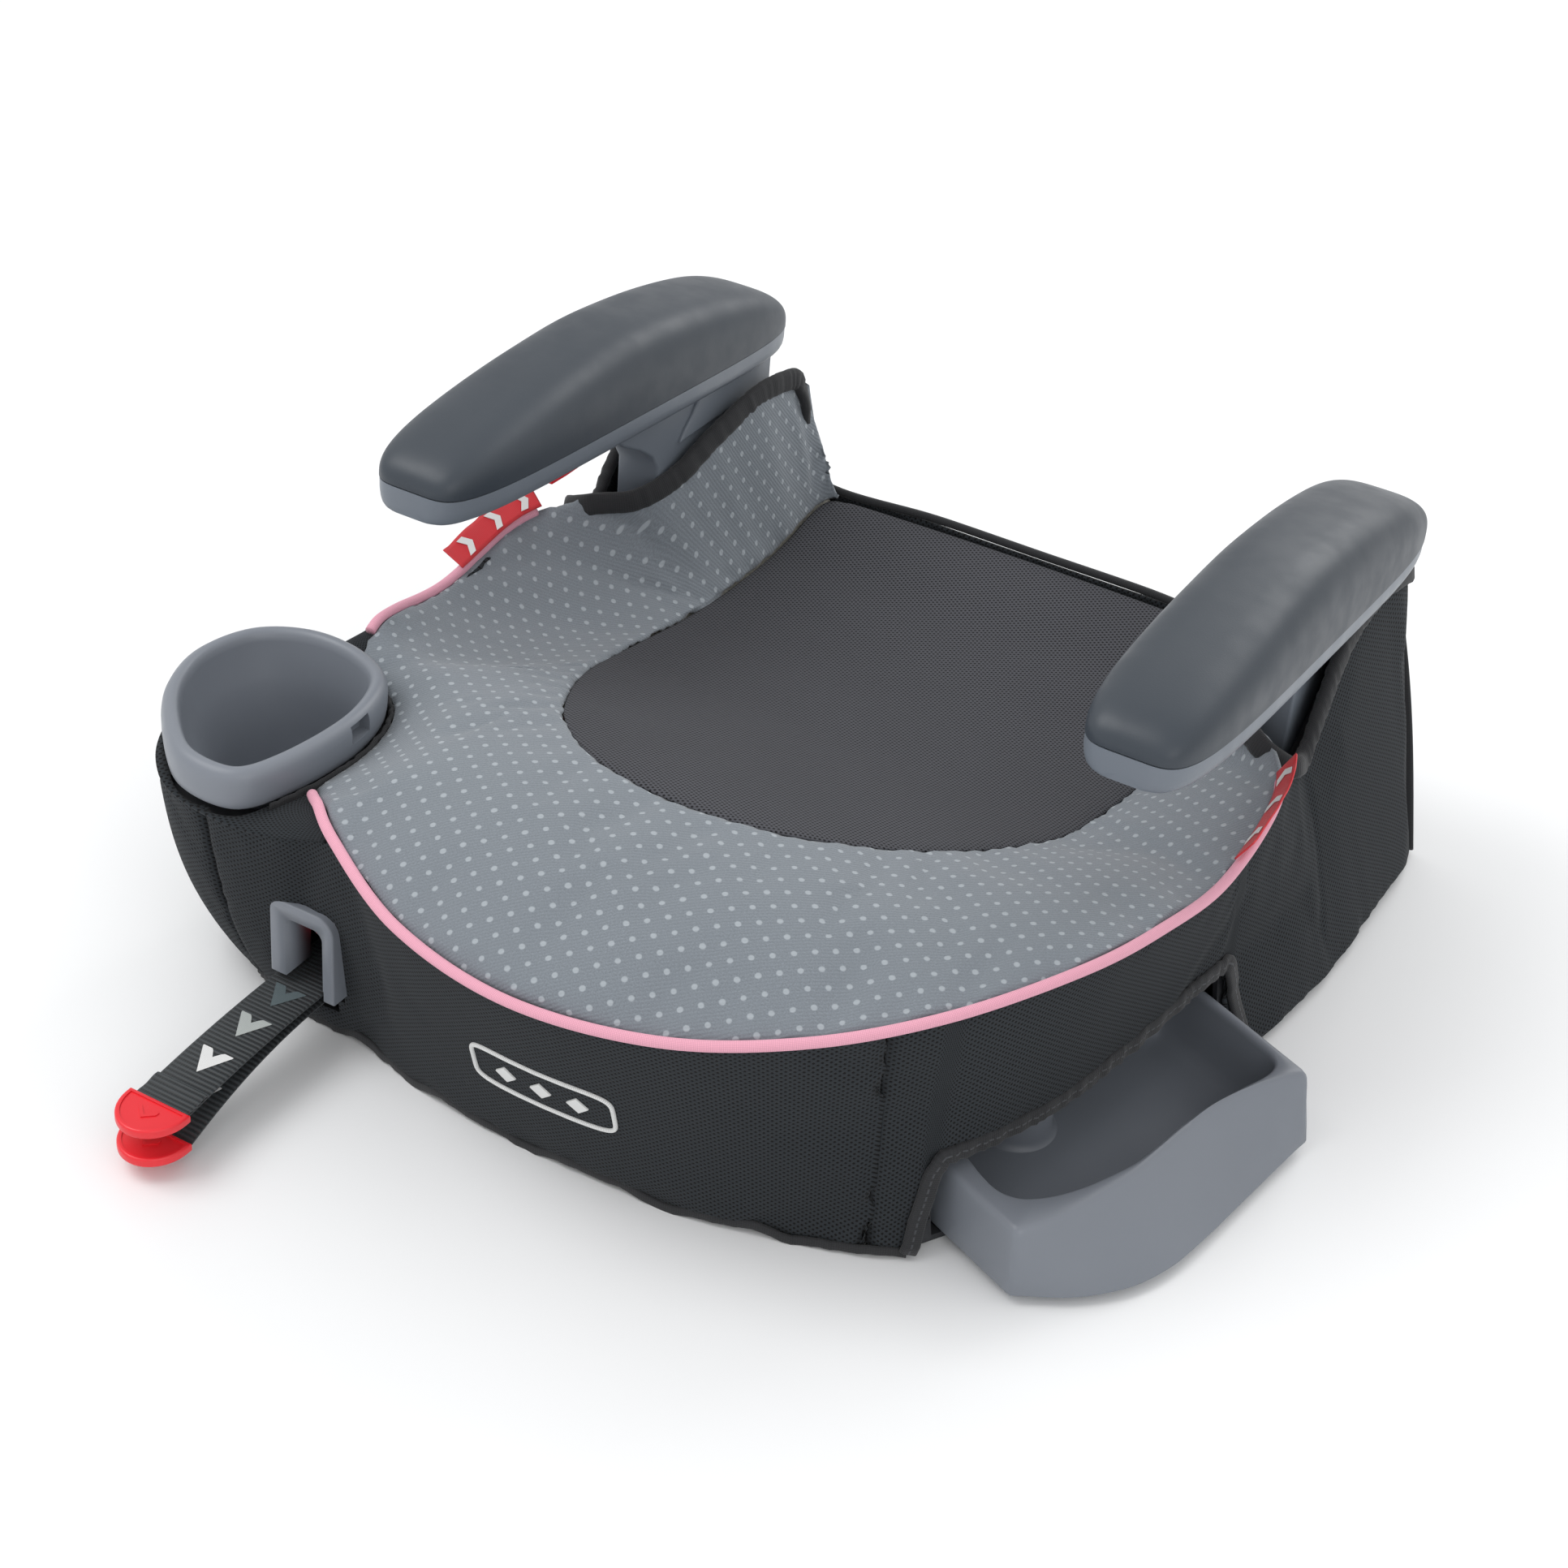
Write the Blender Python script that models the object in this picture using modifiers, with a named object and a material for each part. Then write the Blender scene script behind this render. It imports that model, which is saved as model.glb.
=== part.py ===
"""Backless booster seat for a car: a moulded seat base under a sewn cover, with two armrests that
lift in sleeves, a cup holder, a sliding drawer and a front-adjusted lower-anchor strap.

Frame: +Z up, the front of the seat faces -Y, the origin is on the floor at the seat's middle.
"""

import math

import bmesh
import bpy
import numpy as np
from mathutils import Matrix, Vector

# ---- driving dimensions, in metres -------------------------------------------------------------
GAP = 0.0003                 # between solids that touch
COVER = 0.0022               # cover fabric with its backing
SHELL = 0.0030               # moulded wall
PAD_REAR = 0.2040            # the seat pad stops in front of the rear panel
PAN_TOP = 0.0030             # top of the flat underside plate
PAD_CLEAR = 0.0026           # between the cover and the seat pad
SAMPLES_PER_STATION = 2      # ribs between two measured stations

# The seat is described by ribs that run round it. Each rib has a floor point, an outer top edge
# (piping line, then the outer wing), an inner top edge (piping line, then the inner wing) and a
# point on the edge of the mesh insert. Stations go from the front centre to the rear centre.
FLOOR = [
    (0.000, -0.2220), (0.060, -0.2190), (0.108, -0.2070), (0.150, -0.1880), (0.178, -0.1400),
    (0.195, -0.0850), (0.207, -0.0180), (0.218, 0.0350), (0.2215, 0.0700), (0.2225, 0.0950),
    (0.2226, 0.1200), (0.2226, 0.1450), (0.2225, 0.1700), (0.2222, 0.1900), (0.2190, 0.2045),
    (0.205, 0.2125), (0.140, 0.2135), (0.060, 0.2145), (0.000, 0.2145),
]
OUTER_TOP = [
    (0.000, -0.2580, 0.1100), (0.060, -0.2470, 0.1115), (0.110, -0.2220, 0.1180),
    (0.150, -0.1860, 0.1255), (0.181, -0.1350, 0.1295), (0.193, -0.0850, 0.1240),
    (0.197, -0.0250, 0.1140), (0.1955, 0.0300, 0.1230), (0.1920, 0.0640, 0.1220),
    (0.1885, 0.0840, 0.1150), (0.1878, 0.0965, 0.1300), (0.1867, 0.1115, 0.1465),
    (0.1857, 0.1330, 0.1585), (0.1855, 0.1660, 0.1625), (0.1862, 0.2035, 0.1550),
    (0.165, 0.2095, 0.1250), (0.132, 0.2110, 0.0930), (0.060, 0.2130, 0.0910),
    (0.000, 0.2135, 0.0905),
]
INNER_TOP = [
    (0.000, -0.2580, 0.1100), (0.060, -0.2470, 0.1115), (0.110, -0.2220, 0.1180),
    (0.150, -0.1860, 0.1255), (0.181, -0.1350, 0.1295), (0.193, -0.0850, 0.1240),
    (0.197, -0.0250, 0.1140), (0.1955, 0.0300, 0.1230), (0.1800, 0.0600, 0.1280),
    (0.1600, 0.0760, 0.1310), (0.1515, 0.0990, 0.1370), (0.1475, 0.1290, 0.1490),
    (0.1440, 0.1600, 0.1580), (0.1420, 0.1850, 0.1580), (0.1405, 0.2015, 0.1510),
    (0.1370, 0.2085, 0.1220), (0.1280, 0.2085, 0.0880), (0.060, 0.2105, 0.0905),
    (0.000, 0.2110, 0.0905),
]
INSERT_EDGE = [
    (0.000, -0.1400), (0.045, -0.1310), (0.080, -0.1020), (0.102, -0.0650), (0.115, -0.0300),
    (0.120, 0.0000), (0.1215, 0.0280), (0.1218, 0.0550), (0.1217, 0.0750), (0.1213, 0.0950),
    (0.1210, 0.1150), (0.1205, 0.1400), (0.1205, 0.1650), (0.1208, 0.1880), (0.1180, 0.2010),
    (0.1100, 0.2040), (0.1000, 0.2055), (0.050, 0.2070), (0.000, 0.2075),
]
# The left front corner bulges out round the cup holder, so its floor and outer top differ.
LEFT_FLOOR = [
    (0.000, -0.2220), (0.060, -0.2190), (0.106, -0.2085), (0.140, -0.2055), (0.160, -0.2000),
    (0.178, -0.1910), (0.193, -0.1800), (0.203, -0.1630), (0.2065, -0.1420), (0.2065, -0.1200),
    (0.2055, -0.0950), (0.206, -0.0650),
]
LEFT_OUTER_TOP = [
    (0.000, -0.2580, 0.1100), (0.060, -0.2470, 0.1115), (0.110, -0.2235, 0.1160),
    (0.140, -0.2270, 0.1110), (0.168, -0.2290, 0.1100), (0.198, -0.2235, 0.1100),
    (0.2190, -0.2070, 0.1100), (0.2325, -0.1825, 0.1100), (0.2375, -0.1560, 0.1100),
    (0.2330, -0.1310, 0.1100), (0.2160, -0.1080, 0.1110), (0.2000, -0.0750, 0.1160),
]
LEFT_MATCH = [0, 1, 2, 2.5, 2.9, 3.2, 3.5, 3.8, 4.1, 4.4, 4.8, 5.3]
FRONT = 24                    # index of the front centre among all the stations
# How far the skirt draws in at mid height, by station from the front centre (below zero it bulges).
WAIST_AT = [-11, -9, -7, -5, -4, -3, -2, 0, 2, 3, 4, 5, 6, 7, 8, 9]
WAIST = [0.0, -0.008, -0.012, -0.009, -0.006, -0.002, 0.001, 0.002, 0.003, 0.004, 0.008, 0.011,
         0.008, 0.004, 0.002, 0.0]
# How far the padding swells between the insert and the piping, by station.
CROWN_AT = [0, 3, 5, 7, 8.5, 12, 18]
CROWN = [0.012, 0.009, 0.004, 0.002, -0.006, -0.010, 0.0]
# Height of the seat's middle from front to back.
RIDGE_Y = [-0.140, -0.120, -0.100, -0.060, 0.000, 0.060, 0.100, 0.150, 0.190, 0.212]
RIDGE_Z = [0.1375, 0.1310, 0.1240, 0.1105, 0.0917, 0.0800, 0.0765, 0.0775, 0.0850, 0.0905]
# Height of the moulded deck under the seat pad, the same from side to side.
DECK = [
    (-0.3000, 0.0860), (-0.2550, 0.0950), (-0.2200, 0.1040), (-0.1800, 0.1140), (-0.1400, 0.1185),
    (-0.1000, 0.1065), (-0.0600, 0.0935), (0.0000, 0.0750), (0.0600, 0.0630), (0.1000, 0.0595),
    (0.1500, 0.0605), (0.1900, 0.0660), (0.2600, 0.0740),
]
LEFT_SEAM = 4.3               # stations from the front centre to each seam of the skirt
RIGHT_SEAM = 2.6
REAR_SEAM = 14.4
TOP_END = 14.5                # the dotted panel ends at this station
SEAM = 0.015                  # half a seam's width, in stations
SPARE = 0.5                   # extra rib past each end of a skirt panel, in stations
SKIRT_DROP = 0.0062           # skirt's top edge below the piping line
HEM = 0.0015                  # skirt's bottom edge above the floor

WALL_LEVELS = [0.0, 0.020, 0.040, 0.065, 0.090, 0.130]
WALL_CLEAR = 0.0022           # between the cover's inside and the tub

CUP_CENTRE = (-0.1940, -0.1680)
CUP_RIM = [
    (-0.2138, -0.2078), (-0.2314, -0.1842), (-0.2386, -0.1557), (-0.2300, -0.1275),
    (-0.2070, -0.1125), (-0.1790, -0.1130), (-0.1560, -0.1270), (-0.1460, -0.1600),
    (-0.1500, -0.2020), (-0.1620, -0.2250), (-0.1900, -0.2255),
]
CUP_TOP = 0.1300
CUP_COLLAR = 0.1112           # underside of the collar
CUP_FLOOR = 0.0615
WELL_CENTRE = (-0.1810, -0.1510)
WELL_RADIUS = 0.0315          # outside of the well, at its floor
CUP_SIDES = 36
ELASTIC_BELOW = 0.0040         # lower edge of the gathered elastic, from the collar's underside
ELASTIC_WIDTH = 0.0062
DIP_START = -0.0010            # cover's height at the collar, from the collar's underside
DIP_SLOPE = 0.45               # rise of the cover away from the collar
DIP_BLEND = 0.0015             # how softly the slope meets the rest of the cover
RECESS_DEEP = 0.0085           # the tub's recess below the cover's slope
RECESS_REACH = 0.0350
RECESS_SIDE = -0.2050
PAD_REACH = 0.0300             # the seat pad stops this far from the collar

DRAWER_TURN = math.radians(24.0)
DRAWER_CORNER = (0.1905, -0.1873)      # front outer corner, drawer pulled out
DRAWER_OUT = 0.0570                    # how far it is pulled out at rest
DRAWER_BOTTOM = 0.0045
DRAWER_TOP = 0.0385
DRAWER_BACK = -0.0980
DRAWER_LENGTH = 0.1710
FACE_LOW = [(0.0, 0.003), (0.015, 0.016), (0.030, 0.023), (0.048, 0.0275), (0.070, 0.0265),
            (0.100, 0.0186), (0.131, 0.0095), (0.171, -0.002)]
FACE_HIGH = [(0.0, 0.003), (0.0165, 0.0072), (0.039, 0.0055), (0.063, 0.0025), (0.092, -0.0052),
             (0.121, -0.0118), (0.145, -0.0125), (0.171, -0.0080)]
DRAWER_WALL = 0.0060

ARM_X = 0.1675
PAD_X = 0.1710                 # middle of the pad and its plate
PAD_SQUARE = 5.0               # exponent of the pad's outline: 2 is an ellipse, more is squarer
ARM_FRONT = -0.0915
ARM_REAR = 0.2040
ARM_HALF = 0.0290
RIM_FRONT = 0.2005
RIM_DROP = 0.0225
PLATE_DEEP = 0.0125
DOME_AT = [0.0, 0.145, 0.29, 0.49, 0.68, 0.86, 1.0]
DOME_HIGH = [0.0140, 0.0235, 0.0312, 0.0378, 0.0352, 0.0280, 0.0150]
POST_HALF = 0.0115
POST_FRONT = 0.0900
POST_REAR = 0.1965
SLEEVE_IN = 0.1505
SLEEVE_OUT = 0.1845

STRAP_X = -0.1338
STRAP_HALF = 0.0128
STRAP_THICK = 0.0016
TAB_START = -0.3095            # straight side of the pull tabs
TAB_HALF = 0.0155
TAB_DEEP = 0.0180
UPPER_Z = 0.0306
LOWER_Z = 0.0262
BEZEL_Y = -0.2220
HOOK_X = 0.1000
HOOK_Z = 0.0330
RUN_Z = {"left": 0.0224, "right": 0.0368}   # hidden webbing, under and over the strap tails
RUN_FRONT = -0.1100
RUN_REAR = 0.1300
LEVER_Y = -0.1790             # hinge of the strap adjuster's lever
LEVER_Z = 0.0500
ARM_LEVER = (0.0460, 0.1725)  # hinge of the armrest's lever (Y, Z)
GATE = (0.1685, 0.0292)       # hinge of the hook's gate (Y, Z)

PLASTIC = ((0.115, 0.125, 0.140), 0.55)
SOFT_TOUCH = ((0.055, 0.065, 0.078), 0.62)
DOTTED = ((0.210, 0.225, 0.235), 0.90)
MESH = ((0.040, 0.042, 0.044), 0.92)
BLACK = ((0.012, 0.013, 0.014), 0.85)
PINK = ((0.780, 0.350, 0.420), 0.80)
RED = ((0.720, 0.030, 0.045), 0.45)
RESIN = ((0.030, 0.031, 0.033), 0.60)
FOAM_GREY = ((0.550, 0.550, 0.520), 0.95)
STEEL = ((0.560, 0.570, 0.580), 0.35)


# ---- small tools -------------------------------------------------------------------------------
def clear_scene():
    for obj in list(bpy.data.objects):
        bpy.data.objects.remove(obj, do_unlink=True)


def collection(name):
    group = bpy.data.collections.new(name)
    bpy.context.scene.collection.children.link(group)
    return group


def finish_of(name, look):
    material = bpy.data.materials.get(name) or bpy.data.materials.new(name)
    material.use_nodes = True
    shader = material.node_tree.nodes["Principled BSDF"]
    shader.inputs["Base Color"].default_value = (*look[0], 1.0)
    shader.inputs["Roughness"].default_value = look[1]
    shader.inputs["Metallic"].default_value = 1.0 if look is STEEL else 0.0
    return material


def keep(name, mesh, look, round_piece=True):
    """Put a mesh in the scene as the sub-part of that name, with its origin on its joint."""
    origin = Vector(PIVOT.get(name, (0.0, 0.0, 0.0)))
    mesh.transform(Matrix.Translation(-origin))
    obj = bpy.data.objects.new(name, mesh)
    obj.location = origin
    PARTS.objects.link(obj)
    mesh.materials.clear()
    mesh.materials.append(finish_of(name, look))
    if round_piece:
        mesh.shade_smooth()
        mesh.set_sharp_from_angle(angle=math.radians(40))
    return obj


def mesh_of(points, faces):
    mesh = bpy.data.meshes.new("shape")
    mesh.from_pydata([tuple(p) for p in points], [], faces)
    mesh.validate()
    return mesh


def facing_out(mesh):
    work = bmesh.new()
    work.from_mesh(mesh)
    bmesh.ops.recalc_face_normals(work, faces=work.faces)
    work.to_mesh(mesh)
    work.free()
    return mesh


def grid_faces(rows, columns, wrap):
    """Quads of a sheet of rows x columns points; wrap joins the last column to the first."""
    faces = []
    across = columns if wrap else columns - 1
    for i in range(rows - 1):
        for j in range(across):
            k = (j + 1) % columns
            here, ahead = i * columns, (i + 1) * columns
            faces.append((here + j, here + k, ahead + k, ahead + j))
    return faces


def loft(rings):
    """A closed body through closed rings, with a flat cap on each end ring."""
    rings = np.array(rings)
    rows, columns = rings.shape[:2]
    faces = grid_faces(rows, columns, True)
    faces.append(tuple(range(columns)))
    faces.append(tuple(range((rows - 1) * columns, rows * columns)))
    return facing_out(mesh_of(rings.reshape(-1, 3), faces))


def normals_of(sheet, wrap):
    """Unit normals of a sheet of points (rows x columns x 3)."""
    along = np.gradient(sheet, axis=0)
    if wrap:
        across = np.roll(sheet, -1, axis=1) - np.roll(sheet, 1, axis=1)
    else:
        across = np.gradient(sheet, axis=1)
    normal = np.cross(across, along)
    length = np.linalg.norm(normal, axis=2, keepdims=True)
    return normal / np.maximum(length, 1e-9)


def thick_sheet(sheet, depth, wrap=False, spare=0):
    """A closed body between a sheet and the same sheet moved by depth against its normals.

    The spare columns at each end only steady the normals, so that neighbours meet squarely."""
    under = sheet - normals_of(sheet, wrap) * depth
    if spare:
        sheet = sheet[:, spare:-spare]
        under = under[:, spare:-spare]
    rows, columns = sheet.shape[:2]
    count = rows * columns
    points = np.vstack([sheet.reshape(-1, 3), under.reshape(-1, 3)])
    top = grid_faces(rows, columns, wrap)
    faces = top + [tuple(i + count for i in reversed(face)) for face in top]
    edge = []
    across = columns if wrap else columns - 1
    for j in range(across):
        edge.append((j, (j + 1) % columns))
        edge.append(((rows - 1) * columns + (j + 1) % columns, (rows - 1) * columns + j))
    if not wrap:
        for i in range(rows - 1):
            edge.append(((i + 1) * columns, i * columns))
            edge.append((i * columns + columns - 1, (i + 1) * columns + columns - 1))
    for a, b in edge:
        faces.append((b, a, a + count, b + count))
    return facing_out(mesh_of(points, faces))


def spline(points, where):
    """Catmull-Rom points on an open run of control points, at the given station numbers."""
    points = np.array(points, float)
    ends = np.vstack([2 * points[0] - points[1], points, 2 * points[-1] - points[-2]])
    out = []
    for w in where:
        k = min(max(int(w), 0), len(points) - 2)
        f = w - k
        a, b, c, d = ends[k:k + 4]
        out.append(0.5 * (2 * b + (c - a) * f + (2 * a - 5 * b + 4 * c - d) * f ** 2
                          + (3 * b - a - 3 * c + d) * f ** 3))
    return np.array(out)


def box(name, low, high):
    """A block mesh between two corners, in a throwaway object's mesh."""
    work = bmesh.new()
    bmesh.ops.create_cube(work, size=1.0)
    size = np.subtract(high, low)
    middle = np.add(high, low) / 2
    for vert in work.verts:
        vert.co = [c * s + m for c, s, m in zip(vert.co, size, middle)]
    mesh = bpy.data.meshes.new(name)
    work.to_mesh(mesh)
    work.free()
    return mesh


def outline_body(outline, half, bevel=0.0):
    """A flat outline drawn in XY as a 2D curve and extruded by half each way, as a welded mesh."""
    curve = bpy.data.curves.new("outline", "CURVE")
    curve.dimensions = "2D"
    curve.fill_mode = "BOTH"
    curve.extrude = half - bevel
    curve.bevel_depth = bevel
    curve.bevel_resolution = 1
    run = curve.splines.new("POLY")
    run.points.add(len(outline) - 1)
    for point, (x, y) in zip(run.points, outline):
        point.co = (x, y, 0.0, 1.0)
    run.use_cyclic_u = True
    return settled(curve)


def settled(curve):
    """The welded mesh that a curve draws."""
    holder = bpy.data.objects.new("holder", curve)
    bpy.context.scene.collection.objects.link(holder)
    seen = holder.evaluated_get(bpy.context.evaluated_depsgraph_get())
    mesh = bpy.data.meshes.new_from_object(seen)
    bpy.data.objects.remove(holder, do_unlink=True)
    work = bmesh.new()
    work.from_mesh(mesh)
    bmesh.ops.remove_doubles(work, verts=work.verts, dist=0.00002)
    bmesh.ops.recalc_face_normals(work, faces=work.faces)
    work.to_mesh(mesh)
    work.free()
    return mesh


def tube(points, radius, closed=False, sides=2):
    """A round cord through points, as a welded mesh."""
    curve = bpy.data.curves.new("tube", "CURVE")
    curve.dimensions = "3D"
    curve.bevel_depth = radius
    curve.bevel_resolution = sides
    curve.use_fill_caps = not closed
    run = curve.splines.new("POLY")
    run.points.add(len(points) - 1)
    for point, place in zip(run.points, points):
        point.co = (*place, 1.0)
    run.use_cyclic_u = closed
    return settled(curve)


def placed(mesh, axes, origin=(0.0, 0.0, 0.0)):
    """Move a mesh so that its X, Y and Z lie along the three given axes from origin."""
    turn = np.array(axes, float).T
    for vert in mesh.vertices:
        vert.co = turn @ np.array(vert.co) + np.array(origin)
    return facing_out(mesh)


def cutter(name, mesh):
    obj = bpy.data.objects.new(name, mesh)
    CUTTERS.objects.link(obj)
    obj.hide_render = True
    obj.display_type = "WIRE"
    return obj


def combine(obj, tool, operation="DIFFERENCE"):
    step = obj.modifiers.new(f"{operation.lower()}_{tool.name}", "BOOLEAN")
    step.operation = operation
    step.solver = "EXACT"
    step.object = tool
    return obj


def soften(obj, width, segments=2):
    step = obj.modifiers.new("rounded", "BEVEL")
    step.width = width
    step.segments = segments
    step.limit_method = "ANGLE"
    step.angle_limit = math.radians(40)
    return obj


# ---- the seat's ribs ---------------------------------------------------------------------------
def all_stations(right, left=None, dims=2):
    """Control points from the rear centre round the left side, the front and the right side."""
    right = np.array(right, float)
    if left is None:
        left_part = spline(right, LEFT_MATCH)
    else:
        left_part = np.array(left, float)
    left_side = np.vstack([left_part, right[6:]])
    left_side = left_side * np.array([-1.0] + [1.0] * (dims - 1))
    return np.vstack([left_side[:0:-1], right])


def ribs(first, last, step=1.0 / SAMPLES_PER_STATION):
    """Station numbers from first to last, counted from the front centre."""
    count = max(1, round((last - first) / step))
    return np.linspace(first, last, count + 1) + FRONT


STATION_FLOOR = all_stations(FLOOR, LEFT_FLOOR)
STATION_OUTER = all_stations(OUTER_TOP, LEFT_OUTER_TOP, 3)
STATION_INNER = all_stations(INNER_TOP, None, 3)
STATION_INSERT = all_stations(INSERT_EDGE)


def ridge(y):
    return np.interp(y, RIDGE_Y, RIDGE_Z)


def waist(where):
    return np.interp(np.array(where) - FRONT, WAIST_AT, WAIST)


def skirt_sheet(where, rows, top_drop=0.0, low=0.0):
    """The outside of the cover from the floor up to its outer top edge."""
    floor = spline(STATION_FLOOR, where)
    top = spline(STATION_OUTER, where)
    pinch = waist(where)
    middle = np.array([0.0, 0.04])
    sheet = []
    for s in rows:
        level = low + (top[:, 2] - top_drop - low) * s
        share = (level / top[:, 2])[:, None]
        plan = floor * (1 - share) + top[:, :2] * share
        inward = middle - plan
        inward /= np.linalg.norm(inward, axis=1)[:, None]
        plan = plan + inward * (pinch * np.sin(math.pi * share[:, 0] ** 0.8))[:, None]
        sheet.append(np.column_stack([plan, level]))
    return np.array(sheet)


def crown(where):
    """How far the padding swells between the insert and the piping."""
    stations = np.abs(np.array(where) - FRONT)
    return np.interp(stations, CROWN_AT, CROWN)


def cup_outline(grow, sides=CUP_SIDES):
    """The rounded three-cornered outline of the cup holder, grown outwards."""
    rim = np.array(CUP_RIM)
    closed = np.vstack([rim[-2:], rim, rim[:3]])
    line = spline(closed, 2 + np.arange(sides) * len(rim) / sides)
    along = np.roll(line, -1, axis=0) - np.roll(line, 1, axis=0)
    out = np.column_stack([along[:, 1], -along[:, 0]])
    out /= np.linalg.norm(out, axis=1)[:, None]
    turn = np.sum((line - np.array(CUP_CENTRE)) * out, axis=1).mean()
    return line + out * grow * np.sign(turn)


def ring_at(outline, z):
    return np.column_stack([outline, np.full(len(outline), z)])


def cup_dip(sheet):
    """Lower a sheet so that it slopes down to the cup holder's collar."""
    rim = cup_outline(0.0)
    flat = sheet[:, :, None, :2] - rim[None, None, :, :]
    slope = CUP_COLLAR + DIP_START + DIP_SLOPE * np.linalg.norm(flat, axis=3).min(axis=2)
    sheet[:, :, 2] = -DIP_BLEND * np.logaddexp(-sheet[:, :, 2] / DIP_BLEND, -slope / DIP_BLEND)
    return sheet


def pad_sheet(where, rows):
    """The top of the seat from the insert's edge (0) to the inner top edge (1)."""
    inside = spline(STATION_INSERT, where)
    edge = spline(STATION_INNER, where)
    inside = np.column_stack([inside, ridge(inside[:, 1])])
    swell = crown(where)
    sheet = []
    for t in rows:
        line = inside * (1 - t) + edge * t
        line[:, 2] += swell * math.sin(math.pi * t)
        sheet.append(line)
    return cup_dip(np.array(sheet))


def insert_sheet(where, rows):
    """The top of the seat from its middle line (0) to the insert's edge (1)."""
    edge = spline(STATION_INSERT, where)
    sheet = []
    for t in rows:
        x = edge[:, 0] * t
        middle_y = np.clip(edge[:, 1], -0.09, 0.16)
        y = middle_y * (1 - t) + edge[:, 1] * t
        sheet.append(np.column_stack([x, y, ridge(y)]))
    return np.array(sheet)


def under_sheet(where):
    """The top of the seat pad, under the cover; its inner ring stands above the insert."""
    sheet = pad_sheet(where, [0.8, 0.6, 0.4, 0.2, 0.01])
    slope = np.clip(normals_of(sheet, True)[:, :, 2], 0.34, 1.0)
    sheet[:, :, 2] -= (COVER + PAD_CLEAR) / slope
    inner = insert_sheet(where, [0.98, 0.96])
    inner[0, :, 2] -= COVER + PAD_CLEAR
    inner[1, :, 2] = 0.1500
    return np.vstack([sheet, inner])


def deck_block(shift, limit):
    """A block across the seat between the deck's profile, moved up by shift, and a level limit."""
    profile = [(y, z + shift) for y, z in DECK]
    outline = profile + [(DECK[-1][0], limit), (DECK[0][0], limit)]
    return placed(outline_body(outline, 0.300), UPRIGHT)


def disc_body(top, depth):
    """A closed body between a sheet of rings and the same rings lowered by depth."""
    low = top.copy()
    low[:, :, 2] -= depth
    rows, columns = top.shape[:2]
    count = rows * columns
    middles = [top[-1].mean(axis=0), low[-1].mean(axis=0)]
    points = np.vstack([top.reshape(-1, 3), low.reshape(-1, 3), middles])
    sheet = grid_faces(rows, columns, True)
    faces = sheet + [tuple(i + count for i in reversed(face)) for face in sheet]
    last = count - columns
    for j in range(columns):
        k = (j + 1) % columns
        faces.append((k, j, j + count, k + count))
        faces.append((last + j, last + k, 2 * count))
        faces.append((last + k + count, last + j + count, 2 * count + 1))
    return facing_out(mesh_of(points, faces))


def outward_of(where):
    """Unit plan directions away from the seat along its inner top edge."""
    edge = spline(STATION_INNER, where)
    along = np.gradient(edge[:, :2], axis=0)
    out = np.column_stack([along[:, 1], -along[:, 0]])
    return out / np.linalg.norm(out, axis=1)[:, None]


def sleeve_cutter(side):
    low = (SLEEVE_IN - GAP, POST_FRONT - 0.0058, 0.01)
    high = (SLEEVE_OUT + GAP, 0.2028, 0.20)
    mesh = box(f"sleeve_room_{side}", low, high)
    for vert in mesh.vertices:
        vert.co.x *= SIGN[side]
    return cutter(f"sleeve_room_{side}", facing_out(mesh))


# ---- base --------------------------------------------------------------------------------------
def wall_loft(inset, low):
    """A closed body inside the skirt, with a flat top above the deck."""
    where = ribs(-24, 18)[:-1]
    top = spline(STATION_OUTER, where)[:, 2]
    sheet = np.array([skirt_sheet(where, [z / top], 0.0, 0.0)[0] for z in WALL_LEVELS])
    sheet = sheet - normals_of(sheet, True) * (COVER + WALL_CLEAR + inset)
    for row, z in zip(sheet, [low, *WALL_LEVELS[1:]]):
        row[:, 2] = z
    return loft(sheet)


def cup_recess(shift):
    """A block above a surface that slopes down to the collar, below the cover there."""
    level = CUP_COLLAR + DIP_START - RECESS_DEEP + shift
    high = level + DIP_SLOPE * RECESS_REACH
    return loft([ring_at(cup_outline(0.0), level), ring_at(cup_outline(RECESS_REACH), high),
                 ring_at(cup_outline(RECESS_REACH), 0.2)])


def recess_cutter(name, shift):
    """The recess beside the cup holder, on the seat's side only."""
    recess = cutter(name, cup_recess(shift))
    outer_side = box(f"{name}_side", (-0.300, -0.300, 0.050), (RECESS_SIDE, 0.0, 0.300))
    combine(recess, cutter(f"{name}_side", outer_side))
    return recess


def base_shell():
    """Moulded tub: side walls and the seat deck, open below."""
    room = cutter("tub_room", wall_loft(SHELL, -0.010))
    combine(room, cutter("above_inner_deck", deck_block(-SHELL, 0.200)))
    combine(room, recess_cutter("inner_recess", -SHELL))
    shell = keep("base_shell", wall_loft(0.0, PAN_TOP + GAP), RESIN)
    combine(shell, cutter("above_deck", deck_block(0.0, 0.200)))
    combine(shell, recess_cutter("outer_recess", 0.0))
    combine(shell, CUT["cup_collar"])
    combine(shell, room)
    for side in SIGN:
        combine(shell, CUT[f"sleeve_{side}"])
    for name in ("hook_left", "hook_right", "cup_body", "drawer_room", "strap_slot"):
        combine(shell, CUT[name])


def base_pan():
    """Flat plate that closes the tub and stands on the vehicle seat."""
    where = ribs(-24, 18, 1.0)[:-1]
    edge = spline(STATION_FLOOR, where) * 0.975
    plate = placed(outline_body(edge, PAN_TOP / 2), FLAT, (0, 0, PAN_TOP / 2))
    keep("base_pan", plate, RESIN, False)


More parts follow.
